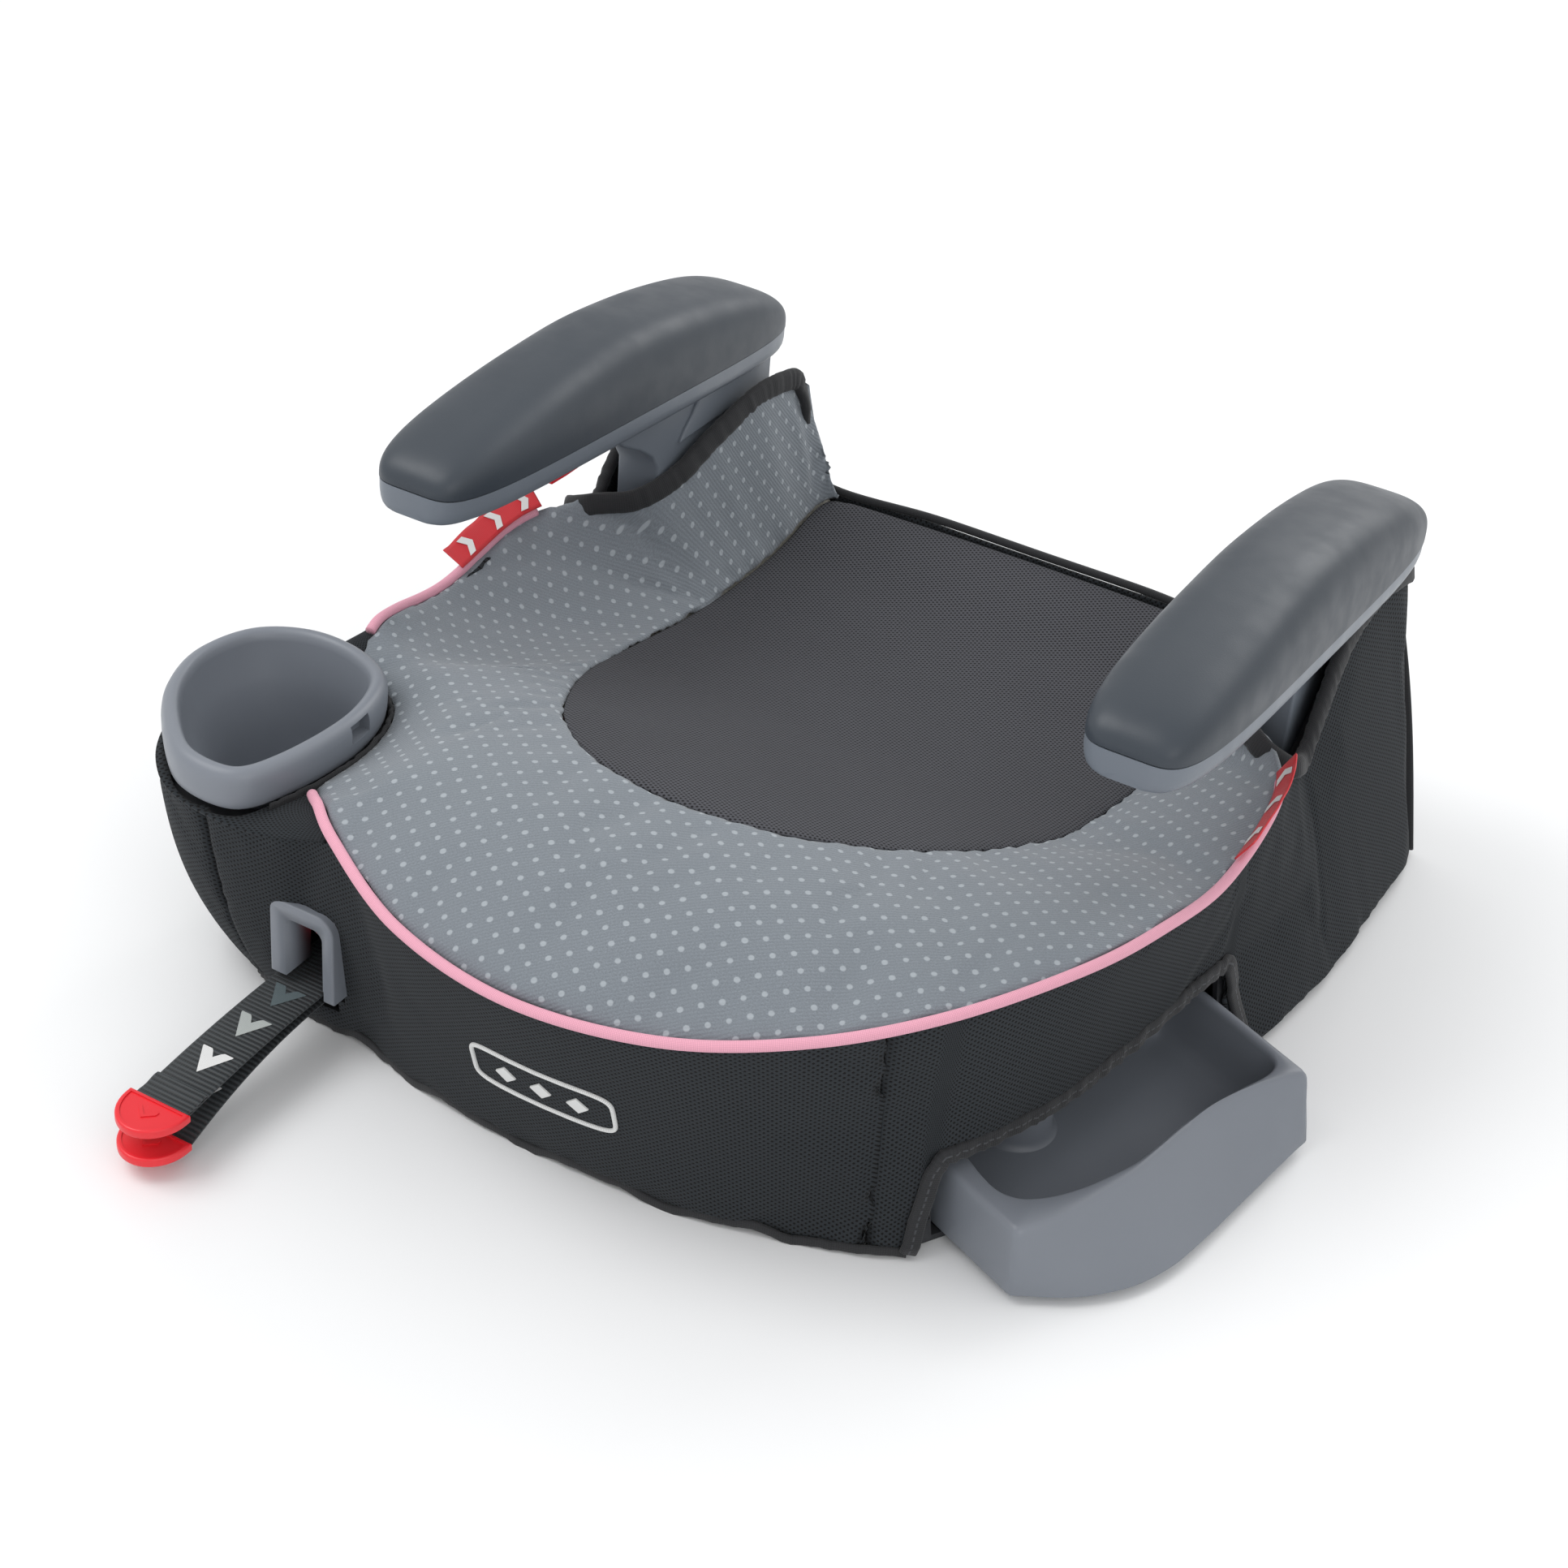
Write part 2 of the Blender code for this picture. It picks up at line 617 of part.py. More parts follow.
def seat_foam():
    """Seat pad: its top follows the cover and its underside lies on the deck."""
    foam = keep("seat_foam", disc_body(under_sheet(ribs(-24, 18)[:-1]), 0.1400), FOAM_GREY)
    combine(foam, cutter("below_pad", deck_block(GAP, -0.100)))
    combine(foam, cutter("behind_pad", box("behind_pad", (-0.3, PAD_REAR, -0.2), (0.3, 0.3, 0.3))))
    above, outline = insert_block(1.0, 0.0, -COVER - GAP, 0.180)
    above_insert = cutter("above_insert", above)
    combine(above_insert, cutter("above_insert_outline", outline), "INTERSECT")
    combine(foam, above_insert)
    for side in SIGN:
        combine(foam, CUT[f"sleeve_{side}"])
    around = [ring_at(cup_outline(PAD_REACH), z) for z in (0.060, 0.200)]
    combine(foam, cutter("cup_surround", loft(around)))


# ---- sewn cover --------------------------------------------------------------------------------
def cover_top():
    sheet = pad_sheet(ribs(-TOP_END - 6, TOP_END), [0.965, 0.8, 0.6, 0.4, 0.2, 0.0])
    top = keep("cover_top", thick_sheet(sheet, COVER), DOTTED)
    combine(top, CUT["cover_edge"])


def insert_block(share, top_shift, low_shift, limit=None):
    """A block with the insert's outline in plan, between two heights above or below the ridge."""
    low = [(y, z + low_shift) for y, z in zip(RIDGE_Y, RIDGE_Z)]
    if limit is None:
        high = [(y, z + top_shift) for y, z in zip(RIDGE_Y, RIDGE_Z)]
    else:
        high = [(RIDGE_Y[0], limit), (RIDGE_Y[-1], limit)]
    outline = low + high[::-1]
    edge = insert_sheet(ribs(-24, 18)[:-1], [share])[0]
    prism = loft([ring_at(edge[:, :2], 0.05), ring_at(edge[:, :2], 0.18)])
    return placed(outline_body(outline, 0.200), UPRIGHT), prism


def cover_insert():
    band, prism = insert_block(0.985, 0.0, -COVER)
    insert = keep("cover_insert", band, MESH)
    combine(insert, cutter("insert_outline", prism), "INTERSECT")


def skirt_panel(name, where, cuts=()):
    where = np.concatenate([[where[0] - SPARE], where, [where[-1] + SPARE]])
    sheet = skirt_sheet(where, [0.0, 0.22, 0.45, 0.7, 0.88, 1.0], SKIRT_DROP, HEM)
    panel = keep(name, thick_sheet(sheet, COVER, spare=1), MESH)
    for tool in cuts:
        combine(panel, CUT[tool])


def cover_skirt():
    """Four mesh panels round the seat, with a seam gap between neighbours."""
    skirt_panel("cover_front", ribs(-LEFT_SEAM + SEAM, RIGHT_SEAM - SEAM), ["strap_slot"])
    skirt_panel("cover_right", ribs(RIGHT_SEAM + SEAM, REAR_SEAM - SEAM), ["drawer_room"])
    skirt_panel("cover_left", ribs(-REAR_SEAM - 6 + SEAM, -LEFT_SEAM - SEAM))
    rear = np.concatenate([ribs(REAR_SEAM + SEAM, 18), ribs(-24, -REAR_SEAM - 6 - SEAM)[1:]])
    skirt_panel("cover_rear", rear, ["hook_left", "hook_right"])


def piping():
    """Pink cord sewn in the seam, outside the panels' edges."""
    for name, first, last in (("piping_front", -3.5, 7.3), ("piping_left", -13.3, -10.3)):
        where = ribs(first, last)
        line = cup_dip(spline(STATION_INNER, where)[None])[0]
        line[:, :2] += outward_of(where) * 0.0030
        line[:, 2] -= 0.0010
        keep(name, tube(line, 0.0025), PINK)


def belt_label(side):
    """Folded red tag sewn in the seam, which marks where the lap belt goes."""
    where = ribs(6.2, 7.3, 0.22)
    inner = spline(STATION_INNER, where)
    inner[:, 2] += 0.0036
    outer = inner.copy()
    outer[:, :2] += outward_of(where) * 0.0114
    outer[:, 2] += 0.0056
    sheet = np.array([outer, inner])
    sheet[:, :, 0] *= SIGN[side]
    keep(f"belt_label_{side}", thick_sheet(sheet, 0.0008), RED, False)


def wing_binding(side):
    """Black bound edge round the mouth of the armrest pocket."""
    where = ribs(8.3, 14.1)
    outer = spline(STATION_OUTER, where)[::-1]
    inner = spline(STATION_INNER, where)
    outer[:, 2] += 0.0002
    inner[:, 2] += 0.0032
    inner[:, 0] -= 0.0004
    line = np.vstack([outer, inner])
    line[:, 0] *= SIGN[side]
    keep(f"wing_binding_{side}", tube(line, 0.0021, sides=1), BLACK)


def cup_elastic():
    """Gathered elastic of the cover round the cup holder's collar, on the seat side."""
    outline = cup_outline(0.0022)
    place = [i for i, (x, y) in enumerate(outline) if x > -0.172 and y > -0.222]
    start = next(i for i in place if (i - 1) % CUP_SIDES not in place)
    order = [(start + i) % CUP_SIDES for i in range(len(place))]
    path = outline[order]
    low = ring_at(path, CUP_COLLAR - ELASTIC_BELOW)
    high = ring_at(path, CUP_COLLAR - ELASTIC_BELOW + ELASTIC_WIDTH)
    sheet = np.array([high, low])
    mesh = thick_sheet(sheet, -0.0009)
    obj = keep("cup_elastic", mesh, BLACK)
    return obj


def drawer_binding():
    """Black folded edge of the opening that the drawer comes through."""
    where = ribs(2.95, 6.6)
    level = DRAWER_TOP + 0.0105
    top = spline(STATION_OUTER, where)[:, 2]
    line = skirt_sheet(where, [level / top])[0]
    line[:, :2] += outward_of(where) * 0.0042
    keep("drawer_binding", tube(line, 0.0024, sides=1), BLACK)


# ---- cup holder --------------------------------------------------------------------------------
def cup_well(grow, share):
    """The cup's outline between the collar's shape (0) and the round floor (1)."""
    outline = cup_outline(grow)
    away = outline - np.array(CUP_CENTRE)
    away /= np.linalg.norm(away, axis=1)[:, None]
    circle = np.array(WELL_CENTRE) + away * (WELL_RADIUS + grow + 0.0085)
    return outline * (1 - share) + circle * share


def cup_holder():
    """One moulding: round well with a floor, rolled rim and a collar that sits on the cover."""
    rings = [
        ring_at(cup_well(-0.0300, 1.0), CUP_FLOOR),
        ring_at(cup_well(-0.0100, 1.0), CUP_FLOOR),
        ring_at(cup_well(-0.0085, 0.93), CUP_FLOOR + 0.004),
        ring_at(cup_well(-0.0085, 0.10), CUP_COLLAR + 0.0005),
        ring_at(cup_outline(-0.0015), CUP_COLLAR),
        ring_at(cup_outline(-0.0004), CUP_COLLAR + 0.006),
        ring_at(cup_outline(0.0), CUP_TOP - 0.006),
        ring_at(cup_outline(-0.0015), CUP_TOP - 0.0015),
        ring_at(cup_outline(-0.0045), CUP_TOP),
        ring_at(cup_outline(-0.0072), CUP_TOP - 0.002),
        ring_at(cup_outline(-0.0085), CUP_TOP - 0.008),
        ring_at(cup_well(-0.0112, 0.10), CUP_COLLAR),
        ring_at(cup_well(-0.0112, 0.90), CUP_FLOOR + 0.008),
        ring_at(cup_well(-0.0150, 0.96), CUP_FLOOR + 0.003),
        ring_at(cup_well(-0.0300, 1.0), CUP_FLOOR + 0.0026),
    ]
    cup = keep("cup_holder", loft(rings), PLASTIC)
    combine(cup, CUT["cup_window"])


# ---- drawer ------------------------------------------------------------------------------------
def drawer_place(points, z):
    """Points (back, out) along the drawer's length and travel, in the seat's frame."""
    out = np.array([math.cos(DRAWER_TURN), -math.sin(DRAWER_TURN)])
    back = np.array([math.sin(DRAWER_TURN), math.cos(DRAWER_TURN)])
    plan = [np.array(DRAWER_CORNER) + back * b + out * a for b, a in points]
    return np.column_stack([plan, np.full(len(plan), z)])


def drawer_ring(share, z, wall=0.0, drop=0.0):
    """Outline of the drawer at one height: its curved face, then the square back."""
    count = 13
    along = np.linspace(0.0, DRAWER_LENGTH, count)
    low = np.interp(along, *zip(*FACE_LOW))
    high = np.interp(along, *zip(*FACE_HIGH))
    face = low * (1 - share) + high * share - wall
    along = np.interp(along, (0.0, DRAWER_LENGTH), (wall * 2.0, DRAWER_LENGTH - wall))
    back = DRAWER_BACK + wall
    points = list(zip(along, face - drop))
    points += [(along[-1], back * 0.5), (along[-1], back), (along[6], back)]
    points += [(along[0], back), (along[0], back * 0.5)]
    return drawer_place(points, z)


def drawer():
    """Open tray with a waisted face that follows the seat's side."""
    rings = [
        drawer_ring(0.0, DRAWER_BOTTOM),
        drawer_ring(0.85, DRAWER_TOP - 0.005),
        drawer_ring(1.0, DRAWER_TOP - 0.0012, drop=0.001),
        drawer_ring(1.0, DRAWER_TOP, wall=0.0018, drop=0.001),
        drawer_ring(1.0, DRAWER_TOP - 0.0005, wall=DRAWER_WALL),
        drawer_ring(0.8, DRAWER_BOTTOM + 0.008, wall=DRAWER_WALL + 0.001, drop=0.001),
        drawer_ring(0.7, DRAWER_BOTTOM + 0.003, wall=DRAWER_WALL + 0.005, drop=0.003),
    ]
    keep("drawer", loft(rings), PLASTIC)


def drawer_rail(name, along):
    """Moulded guide that the drawer slides beside, fixed on the base pan."""
    ends = [(along, DRAWER_BACK - DRAWER_OUT - 0.004), (along, -DRAWER_OUT - 0.012)]
    centre = drawer_place(ends, 0.0)
    low = box(name, (-0.5, -0.0015, 0.0), (0.5, 0.0015, 0.010))
    length = np.linalg.norm(centre[1] - centre[0])
    for vert in low.vertices:
        vert.co.x *= length
    out = (centre[1] - centre[0]) / length
    side = (-out[1], out[0], 0.0)
    origin = (centre[0] + centre[1]) / 2 + np.array([0, 0, PAN_TOP + GAP])
    keep(name, placed(low, [out, side, (0, 0, 1)], origin), RESIN, False)


# ---- armrests ----------------------------------------------------------------------------------
def arm_share(n):
    return 0.5 - 0.5 * np.cos(np.pi * np.arange(n + 1) / n)


def arm_half(share):
    return ARM_HALF * (1 - np.abs(2 * share - 1) ** PAD_SQUARE) ** (1 / PAD_SQUARE)


def rim_at(share):
    return RIM_FRONT - RIM_DROP * share


def armrest_pad(side):
    """Soft-touch dome over the armrest's plate."""
    rings = []
    angles = np.linspace(0, math.pi, 11)
    for share in arm_share(18)[1:-1]:
        half = arm_half(share)
        high = np.interp(share, DOME_AT, DOME_HIGH) * (1 - abs(2 * share - 1) ** 9) ** 0.5
        x = half * np.sign(np.cos(angles)) * np.abs(np.cos(angles)) ** 0.62
        z = rim_at(share) + GAP + high * np.abs(np.sin(angles)) ** 0.62
        y = np.full(len(angles), ARM_FRONT + share * (ARM_REAR - ARM_FRONT))
        rings.append(np.column_stack([x + PAD_X, y, z]))
    rings = np.array(rings)
    rings[:, :, 0] *= SIGN[side]
    keep(f"armrest_pad_{side}", loft(rings), SOFT_TOUCH)


def armrest_frame(side):
    """Plate under the pad, moulded in one piece with the post that slides in the sleeve."""
    rings = []
    section = [(-1.0, 0.0), (1.0, 0.0), (1.0, -0.45), (0.93, -0.85), (0.80, -1.0), (-0.80, -1.0),
               (-0.93, -0.85), (-1.0, -0.45)]
    for share in arm_share(14)[1:-1]:
        half = arm_half(share) * 0.985
        y = ARM_FRONT + share * (ARM_REAR - ARM_FRONT)
        rings.append([(PAD_X + half * a, y, rim_at(share) + PLATE_DEEP * b) for a, b in section])
    rings = np.array(rings)
    rings[:, :, 0] *= SIGN[side]
    plate = keep(f"armrest_frame_{side}", loft(rings), PLASTIC)
    outline = [(POST_FRONT, 0.0310), (POST_REAR, 0.0310), (POST_REAR, 0.1730), (0.050, 0.1810),
               (0.050, 0.1700), (POST_FRONT - 0.010, 0.1500), (POST_FRONT, 0.1400)]
    post = placed(outline_body(outline, POST_HALF), UPRIGHT, (SIGN[side] * ARM_X, 0, 0))
    combine(plate, cutter(f"post_{side}", post), "UNION")


def armrest_sleeve(side):
    """Guide fixed in the base, in which the armrest's post goes up and down."""
    outline = [(POST_FRONT - 0.0055, 0.020), (0.2025, 0.020), (0.2025, 0.143), (0.135, 0.132),
               (0.106, 0.110), (POST_FRONT - 0.0055, 0.094)]
    half = (SLEEVE_OUT - SLEEVE_IN) / 2
    middle = (SLEEVE_OUT + SLEEVE_IN) / 2
    mesh = placed(outline_body(outline, half), UPRIGHT, (SIGN[side] * middle, 0, 0))
    sleeve = keep(f"armrest_sleeve_{side}", mesh, RESIN, False)
    room = box("post_room", (ARM_X - POST_HALF - 0.0004, POST_FRONT - 0.0006, 0.026),
               (ARM_X + POST_HALF + 0.0004, POST_REAR + 0.0006, 0.2))
    for vert in room.vertices:
        vert.co.x *= SIGN[side]
    combine(sleeve, cutter(f"post_room_{side}", facing_out(room)))


def armrest_lever(side):
    """Finger lever under the front of the armrest, which lets the post go."""
    outline = [(-0.002, 0.1705), (0.010, 0.1700), (0.046, 0.1705), (0.046, 0.1745), (0.010, 0.1742),
               (-0.002, 0.1735)]
    mesh = placed(outline_body(outline, 0.0110), UPRIGHT, (SIGN[side] * ARM_X, 0, 0))
    soften(keep(f"armrest_lever_{side}", mesh, RED, False), 0.0006)


# ---- anchor straps and their adjuster ----------------------------------------------------------
def bezel():
    """Grey arch round the mouth that the two strap tails come out of."""
    left, right, low, high = -0.1470, -0.1136, 0.0285, 0.0725
    outline = [(left, low), (left, high - 0.006), (left + 0.002, high - 0.0015), (left + 0.006, high)]
    outline += [(-0.1270, 0.0721), (-0.1195, 0.0703), (-0.1160, 0.0670), (-0.1142, 0.0610)]
    outline += [(right, 0.0480), (right, low)]
    half = 0.0015
    mesh = placed(outline_body(outline, half), FRONTAL, (0, BEZEL_Y + half, 0))
    plate = keep("strap_bezel", mesh, PLASTIC)
    throat = box("throat", (-0.1460, BEZEL_Y + 0.001, 0.0400), (-0.1175, -0.2020, 0.0672))
    combine(plate, cutter("throat", throat), "UNION")
    inner = box("mouth", (-0.1395, -0.2400, 0.0300), (-0.1190, -0.1900, 0.0652))
    combine(plate, cutter("mouth", inner))
    slot = box("tail_slot", (-0.1490, -0.2400, 0.0100), (-0.1186, -0.1900, 0.0398))
    combine(plate, cutter("tail_slot", slot))


def adjuster():
    """Steel frame behind the bezel, with the toothed lever that grips the straps."""
    outside = box("frame", (-0.1525, -0.1930, 0.0340), (-0.1141, -0.1600, 0.0600))
    frame = keep("adjuster_frame", outside, STEEL, False)
    inside = box("frame_room", (-0.1507, -0.2100, 0.0200), (-0.1159, -0.1500, 0.0582))
    combine(frame, cutter("frame_room", inside))
    outline = [(-0.1980, 0.0505), (-0.1830, 0.0530), (-0.1670, 0.0520), (-0.1650, 0.0460)]
    outline += [(-0.1660, 0.0330), (-0.1700, 0.0330), (-0.1740, 0.0440), (-0.1980, 0.0465)]
    lever = placed(outline_body(outline, 0.0150), UPRIGHT, (STRAP_X, 0, 0))
    keep("adjuster_lever", lever, STEEL, False)
    button = box("release_button", (-0.1388, -0.2015, 0.0440), (-0.1197, -0.1983, 0.0560))
    keep("release_button", button, RED, False)


def strap_sheet(line, half=STRAP_HALF, centre=STRAP_X):
    """A flat strap along points (y, z), as a closed body."""
    points = np.array([(centre, y, z) for y, z in line])
    left = points - np.array([half, 0, 0])
    right = points + np.array([half, 0, 0])
    return thick_sheet(np.array([left, right]), STRAP_THICK)


def strap_tails():
    """The two free ends, upper over lower, each with a pull tab at the end."""
    inner_end = -0.0950
    sag = {"upper": (UPPER_Z, 0.0255), "lower": (LOWER_Z, 0.0105)}
    for name, (start, end) in sag.items():
        fall = [(y, start + (end - start) * (min(0.0, y - BEZEL_Y) / 0.081) ** 2)
                for y in np.linspace(BEZEL_Y, -0.3090, 7)]
        line = [(inner_end, start), (-0.1600, start)] + fall
        keep(f"strap_tail_{name}", strap_sheet(line), BLACK, False)
        tab(name, end)


def tab(name, z):
    """Half-round pull tab moulded on the strap's end."""
    turn = np.linspace(0, math.pi, 13)
    arc = [(STRAP_X + TAB_HALF * math.cos(a), TAB_START - 0.0025 - TAB_DEEP * math.sin(a)) for a in turn]
    outline = arc + [(STRAP_X - TAB_HALF, TAB_START), (STRAP_X + TAB_HALF, TAB_START)]
    mesh = placed(outline_body(outline, 0.0022), FLAT, (0, 0, z))
    soften(keep(f"pull_tab_{name}", mesh, RED), 0.0012)


def strap_run(side):
    """The hidden stretch of webbing from the adjuster to the rear mouth."""
    share = np.linspace(0, 1, 13)
    across = (SIGN[side] * HOOK_X - STRAP_X) * share ** 2 * (3 - 2 * share)
    back = RUN_FRONT + (RUN_REAR - RUN_FRONT) * share
    points = np.column_stack([STRAP_X + across, back, np.full(len(share), RUN_Z[side])])
    along = np.gradient(points, axis=0)
    across = np.column_stack([along[:, 1], -along[:, 0], np.zeros(len(along))])
    across /= np.linalg.norm(across, axis=1)[:, None]
    sheet = np.array([points - across * STRAP_HALF, points + across * STRAP_HALF])
    keep(f"strap_run_{side}", thick_sheet(sheet, STRAP_THICK), BLACK, False)


def anchor_hook(side):
    """Lower-anchor hook on its strap end, stowed in the rear mouth, with its sprung gate."""
    x = SIGN[side] * HOOK_X
    line = [(0.0450, HOOK_Z), (0.1000, HOOK_Z), (0.1500, HOOK_Z)]
    keep(f"hook_strap_{side}", strap_sheet(line, centre=x), BLACK, False)
    bar = box("bar", (x - 0.0165, 0.1505, HOOK_Z - 0.0045), (x + 0.0165, 0.1605, HOOK_Z + 0.0040))
    hook = keep(f"anchor_hook_{side}", bar, STEEL, False)
    shape = [(0.158, -0.004), (0.166, -0.004), (0.171, 0.001), (0.180, 0.004), (0.190, 0.003)]
    shape += [(0.196, -0.002), (0.197, -0.009), (0.201, -0.010), (0.2045, -0.006), (0.2050, 0.001)]
    shape += [(0.201, 0.007), (0.190, 0.0105), (0.175, 0.0105), (0.158, 0.004)]
    outline = [(y, z + HOOK_Z) for y, z in shape]
    blade = placed(outline_body(outline, 0.0025), UPRIGHT, (x, 0, 0))
    combine(hook, cutter(f"blade_{side}", blade), "UNION")
    leaf = [(0.1680, -0.0048), (0.1690, -0.0028), (0.1955, -0.0075), (0.1958, -0.0093)]
    gate = placed(outline_body([(y, z + HOOK_Z) for y, z in leaf], 0.0020), UPRIGHT, (x, 0, 0))
    keep(f"hook_gate_{side}", gate, STEEL, False)


SIGN = {"left": -1.0, "right": 1.0}
PIVOT = {
    "drawer": (*DRAWER_CORNER, 0.0), "adjuster_lever": (STRAP_X, LEVER_Y, LEVER_Z),
    "release_button": (STRAP_X, LEVER_Y, LEVER_Z),
    "strap_tail_upper": (STRAP_X, BEZEL_Y, UPPER_Z), "pull_tab_upper": (STRAP_X, BEZEL_Y, UPPER_Z),
    "strap_tail_lower": (STRAP_X, BEZEL_Y, LOWER_Z), "pull_tab_lower": (STRAP_X, BEZEL_Y, LOWER_Z),
}
for SIDE in SIGN:
    PIVOT[f"armrest_pad_{SIDE}"] = (SIGN[SIDE] * ARM_X, POST_REAR, RIM_FRONT)
    PIVOT[f"armrest_frame_{SIDE}"] = (SIGN[SIDE] * ARM_X, POST_REAR, RIM_FRONT)
    PIVOT[f"armrest_lever_{SIDE}"] = (SIGN[SIDE] * ARM_X, *ARM_LEVER)
    PIVOT[f"hook_strap_{SIDE}"] = (SIGN[SIDE] * HOOK_X, 0.1500, HOOK_Z)
    PIVOT[f"anchor_hook_{SIDE}"] = (SIGN[SIDE] * HOOK_X, 0.1500, HOOK_Z)
    PIVOT[f"hook_gate_{SIDE}"] = (SIGN[SIDE] * HOOK_X, *GATE)
FLAT = [(1, 0, 0), (0, 1, 0), (0, 0, 1)]        # outline in XY
UPRIGHT = [(0, 1, 0), (0, 0, 1), (1, 0, 0)]     # outline in YZ
FRONTAL = [(1, 0, 0), (0, 0, 1), (0, -1, 0)]    # outline in XZ

clear_scene()
PARTS = collection("booster_seat")
CUTTERS = collection("cutters")


def make_cutters():
    made = {f"sleeve_{side}": sleeve_cutter(side) for side in SIGN}
    body = [
        ring_at(cup_well(-0.0070, 1.0), CUP_FLOOR - 0.001),
        ring_at(cup_well(-0.0070, 0.93), CUP_FLOOR + 0.004),
        ring_at(cup_well(-0.0070, 0.05), CUP_COLLAR + 0.002),
    ]
    made["cup_body"] = cutter("cup_body", loft(body))
    collar = [ring_at(cup_outline(0.0045), CUP_COLLAR - 0.0006), ring_at(cup_outline(0.0045), 0.2)]
    made["cup_collar"] = cutter("cup_collar", loft(collar))
    edge = [ring_at(cup_outline(0.0045), CUP_COLLAR - 0.0060), ring_at(cup_outline(0.0045), 0.2)]
    made["cover_edge"] = cutter("cover_edge", loft(edge))
    side = 0.0050
    back = DRAWER_BACK - DRAWER_OUT - 0.006
    room = [(-side, 0.08), (-side, back), (DRAWER_LENGTH + side, back), (DRAWER_LENGTH + side, 0.08)]
    rings = [drawer_place(room, -0.01), drawer_place(room, DRAWER_TOP + 0.0075)]
    made["drawer_room"] = cutter("drawer_room", loft(rings))
    slot = box("strap_slot", (-0.1493, -0.26, 0.0045), (-0.1170, -0.17, 0.0731))
    made["strap_slot"] = cutter("strap_slot", slot)
    for side in SIGN:
        x = SIGN[side] * HOOK_X
        mouth = box("mouth", (x - 0.020, 0.19, 0.018), (x + 0.020, 0.24, 0.0460))
        made[f"hook_{side}"] = cutter(f"hook_mouth_{side}", mouth)
    window = box("window", (-0.1525, -0.1655, 0.1190), (-0.1400, -0.1520, 0.1275))
    made["cup_window"] = cutter("cup_window", window)
    return made


CUT = make_cutters()
base_shell()
base_pan()
seat_foam()
cover_top()
cover_insert()
cover_skirt()
piping()
cup_holder()
cup_elastic()
drawer()
drawer_rail("drawer_rail_front", -0.0025)
drawer_rail("drawer_rail_rear", DRAWER_LENGTH + 0.0025)
drawer_binding()
for SIDE in SIGN:
    belt_label(SIDE)
    wing_binding(SIDE)
    armrest_pad(SIDE)
    armrest_frame(SIDE)
    armrest_sleeve(SIDE)
    armrest_lever(SIDE)
    strap_run(SIDE)
    anchor_hook(SIDE)
bezel()
adjuster()
strap_tails()
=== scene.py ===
"""Looks of the booster seat: sewn cover, mouldings, webbing, floor, lights and camera.

The stations round the seat and the outlines of its drawer and cup holder repeat the dimensions of the CAD
source, in metres. Station 0 is the front's middle; the rear's middle is 18 on the right and -24 on the left.
"""

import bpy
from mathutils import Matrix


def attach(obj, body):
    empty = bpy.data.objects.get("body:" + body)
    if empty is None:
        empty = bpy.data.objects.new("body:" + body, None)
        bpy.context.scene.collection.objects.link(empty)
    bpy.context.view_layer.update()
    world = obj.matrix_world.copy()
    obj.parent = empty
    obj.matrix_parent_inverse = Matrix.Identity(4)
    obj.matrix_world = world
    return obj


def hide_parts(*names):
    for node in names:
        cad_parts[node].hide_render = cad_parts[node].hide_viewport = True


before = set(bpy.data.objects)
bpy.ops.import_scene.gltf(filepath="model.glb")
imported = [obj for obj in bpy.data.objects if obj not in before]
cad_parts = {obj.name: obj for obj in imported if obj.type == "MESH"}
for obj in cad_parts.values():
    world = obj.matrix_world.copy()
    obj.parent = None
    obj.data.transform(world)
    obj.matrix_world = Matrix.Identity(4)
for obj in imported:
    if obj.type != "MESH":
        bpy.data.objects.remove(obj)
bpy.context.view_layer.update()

import math

import bmesh
import bpy
import numpy as np
from mathutils import Matrix, Vector

# ---- dimensions shared with the CAD, in metres --------------------------------------------------
COVER = 0.0022
FLOOR = [
    (0.000, -0.2220), (0.060, -0.2190), (0.108, -0.2070), (0.150, -0.1880), (0.178, -0.1400),
    (0.195, -0.0850), (0.207, -0.0180), (0.218, 0.0350), (0.2215, 0.0700), (0.2225, 0.0950),
    (0.2226, 0.1200), (0.2226, 0.1450), (0.2225, 0.1700), (0.2222, 0.1900), (0.2190, 0.2045),
    (0.205, 0.2125), (0.140, 0.2135), (0.060, 0.2145), (0.000, 0.2145),
]
SHARED_TOP = [
    (0.000, -0.2580, 0.1100), (0.060, -0.2470, 0.1115), (0.110, -0.2220, 0.1180),
    (0.150, -0.1860, 0.1255), (0.181, -0.1350, 0.1295), (0.193, -0.0850, 0.1240),
    (0.197, -0.0250, 0.1140), (0.1955, 0.0300, 0.1230),
]
OUTER_TOP = [
    *SHARED_TOP, (0.1920, 0.0640, 0.1220),
    (0.1885, 0.0840, 0.1150), (0.1878, 0.0965, 0.1300), (0.1867, 0.1115, 0.1465),
    (0.1857, 0.1330, 0.1585), (0.1855, 0.1660, 0.1625), (0.1862, 0.2035, 0.1550),
    (0.165, 0.2095, 0.1250), (0.132, 0.2110, 0.0930), (0.060, 0.2130, 0.0910),
    (0.000, 0.2135, 0.0905),
]
INNER_TOP = [
    *SHARED_TOP, (0.1800, 0.0600, 0.1280),
    (0.1600, 0.0760, 0.1310), (0.1515, 0.0990, 0.1370), (0.1475, 0.1290, 0.1490),
    (0.1440, 0.1600, 0.1580), (0.1420, 0.1850, 0.1580), (0.1405, 0.2015, 0.1510),
    (0.1370, 0.2085, 0.1220), (0.1280, 0.2085, 0.0880), (0.060, 0.2105, 0.0905),
    (0.000, 0.2110, 0.0905),
]
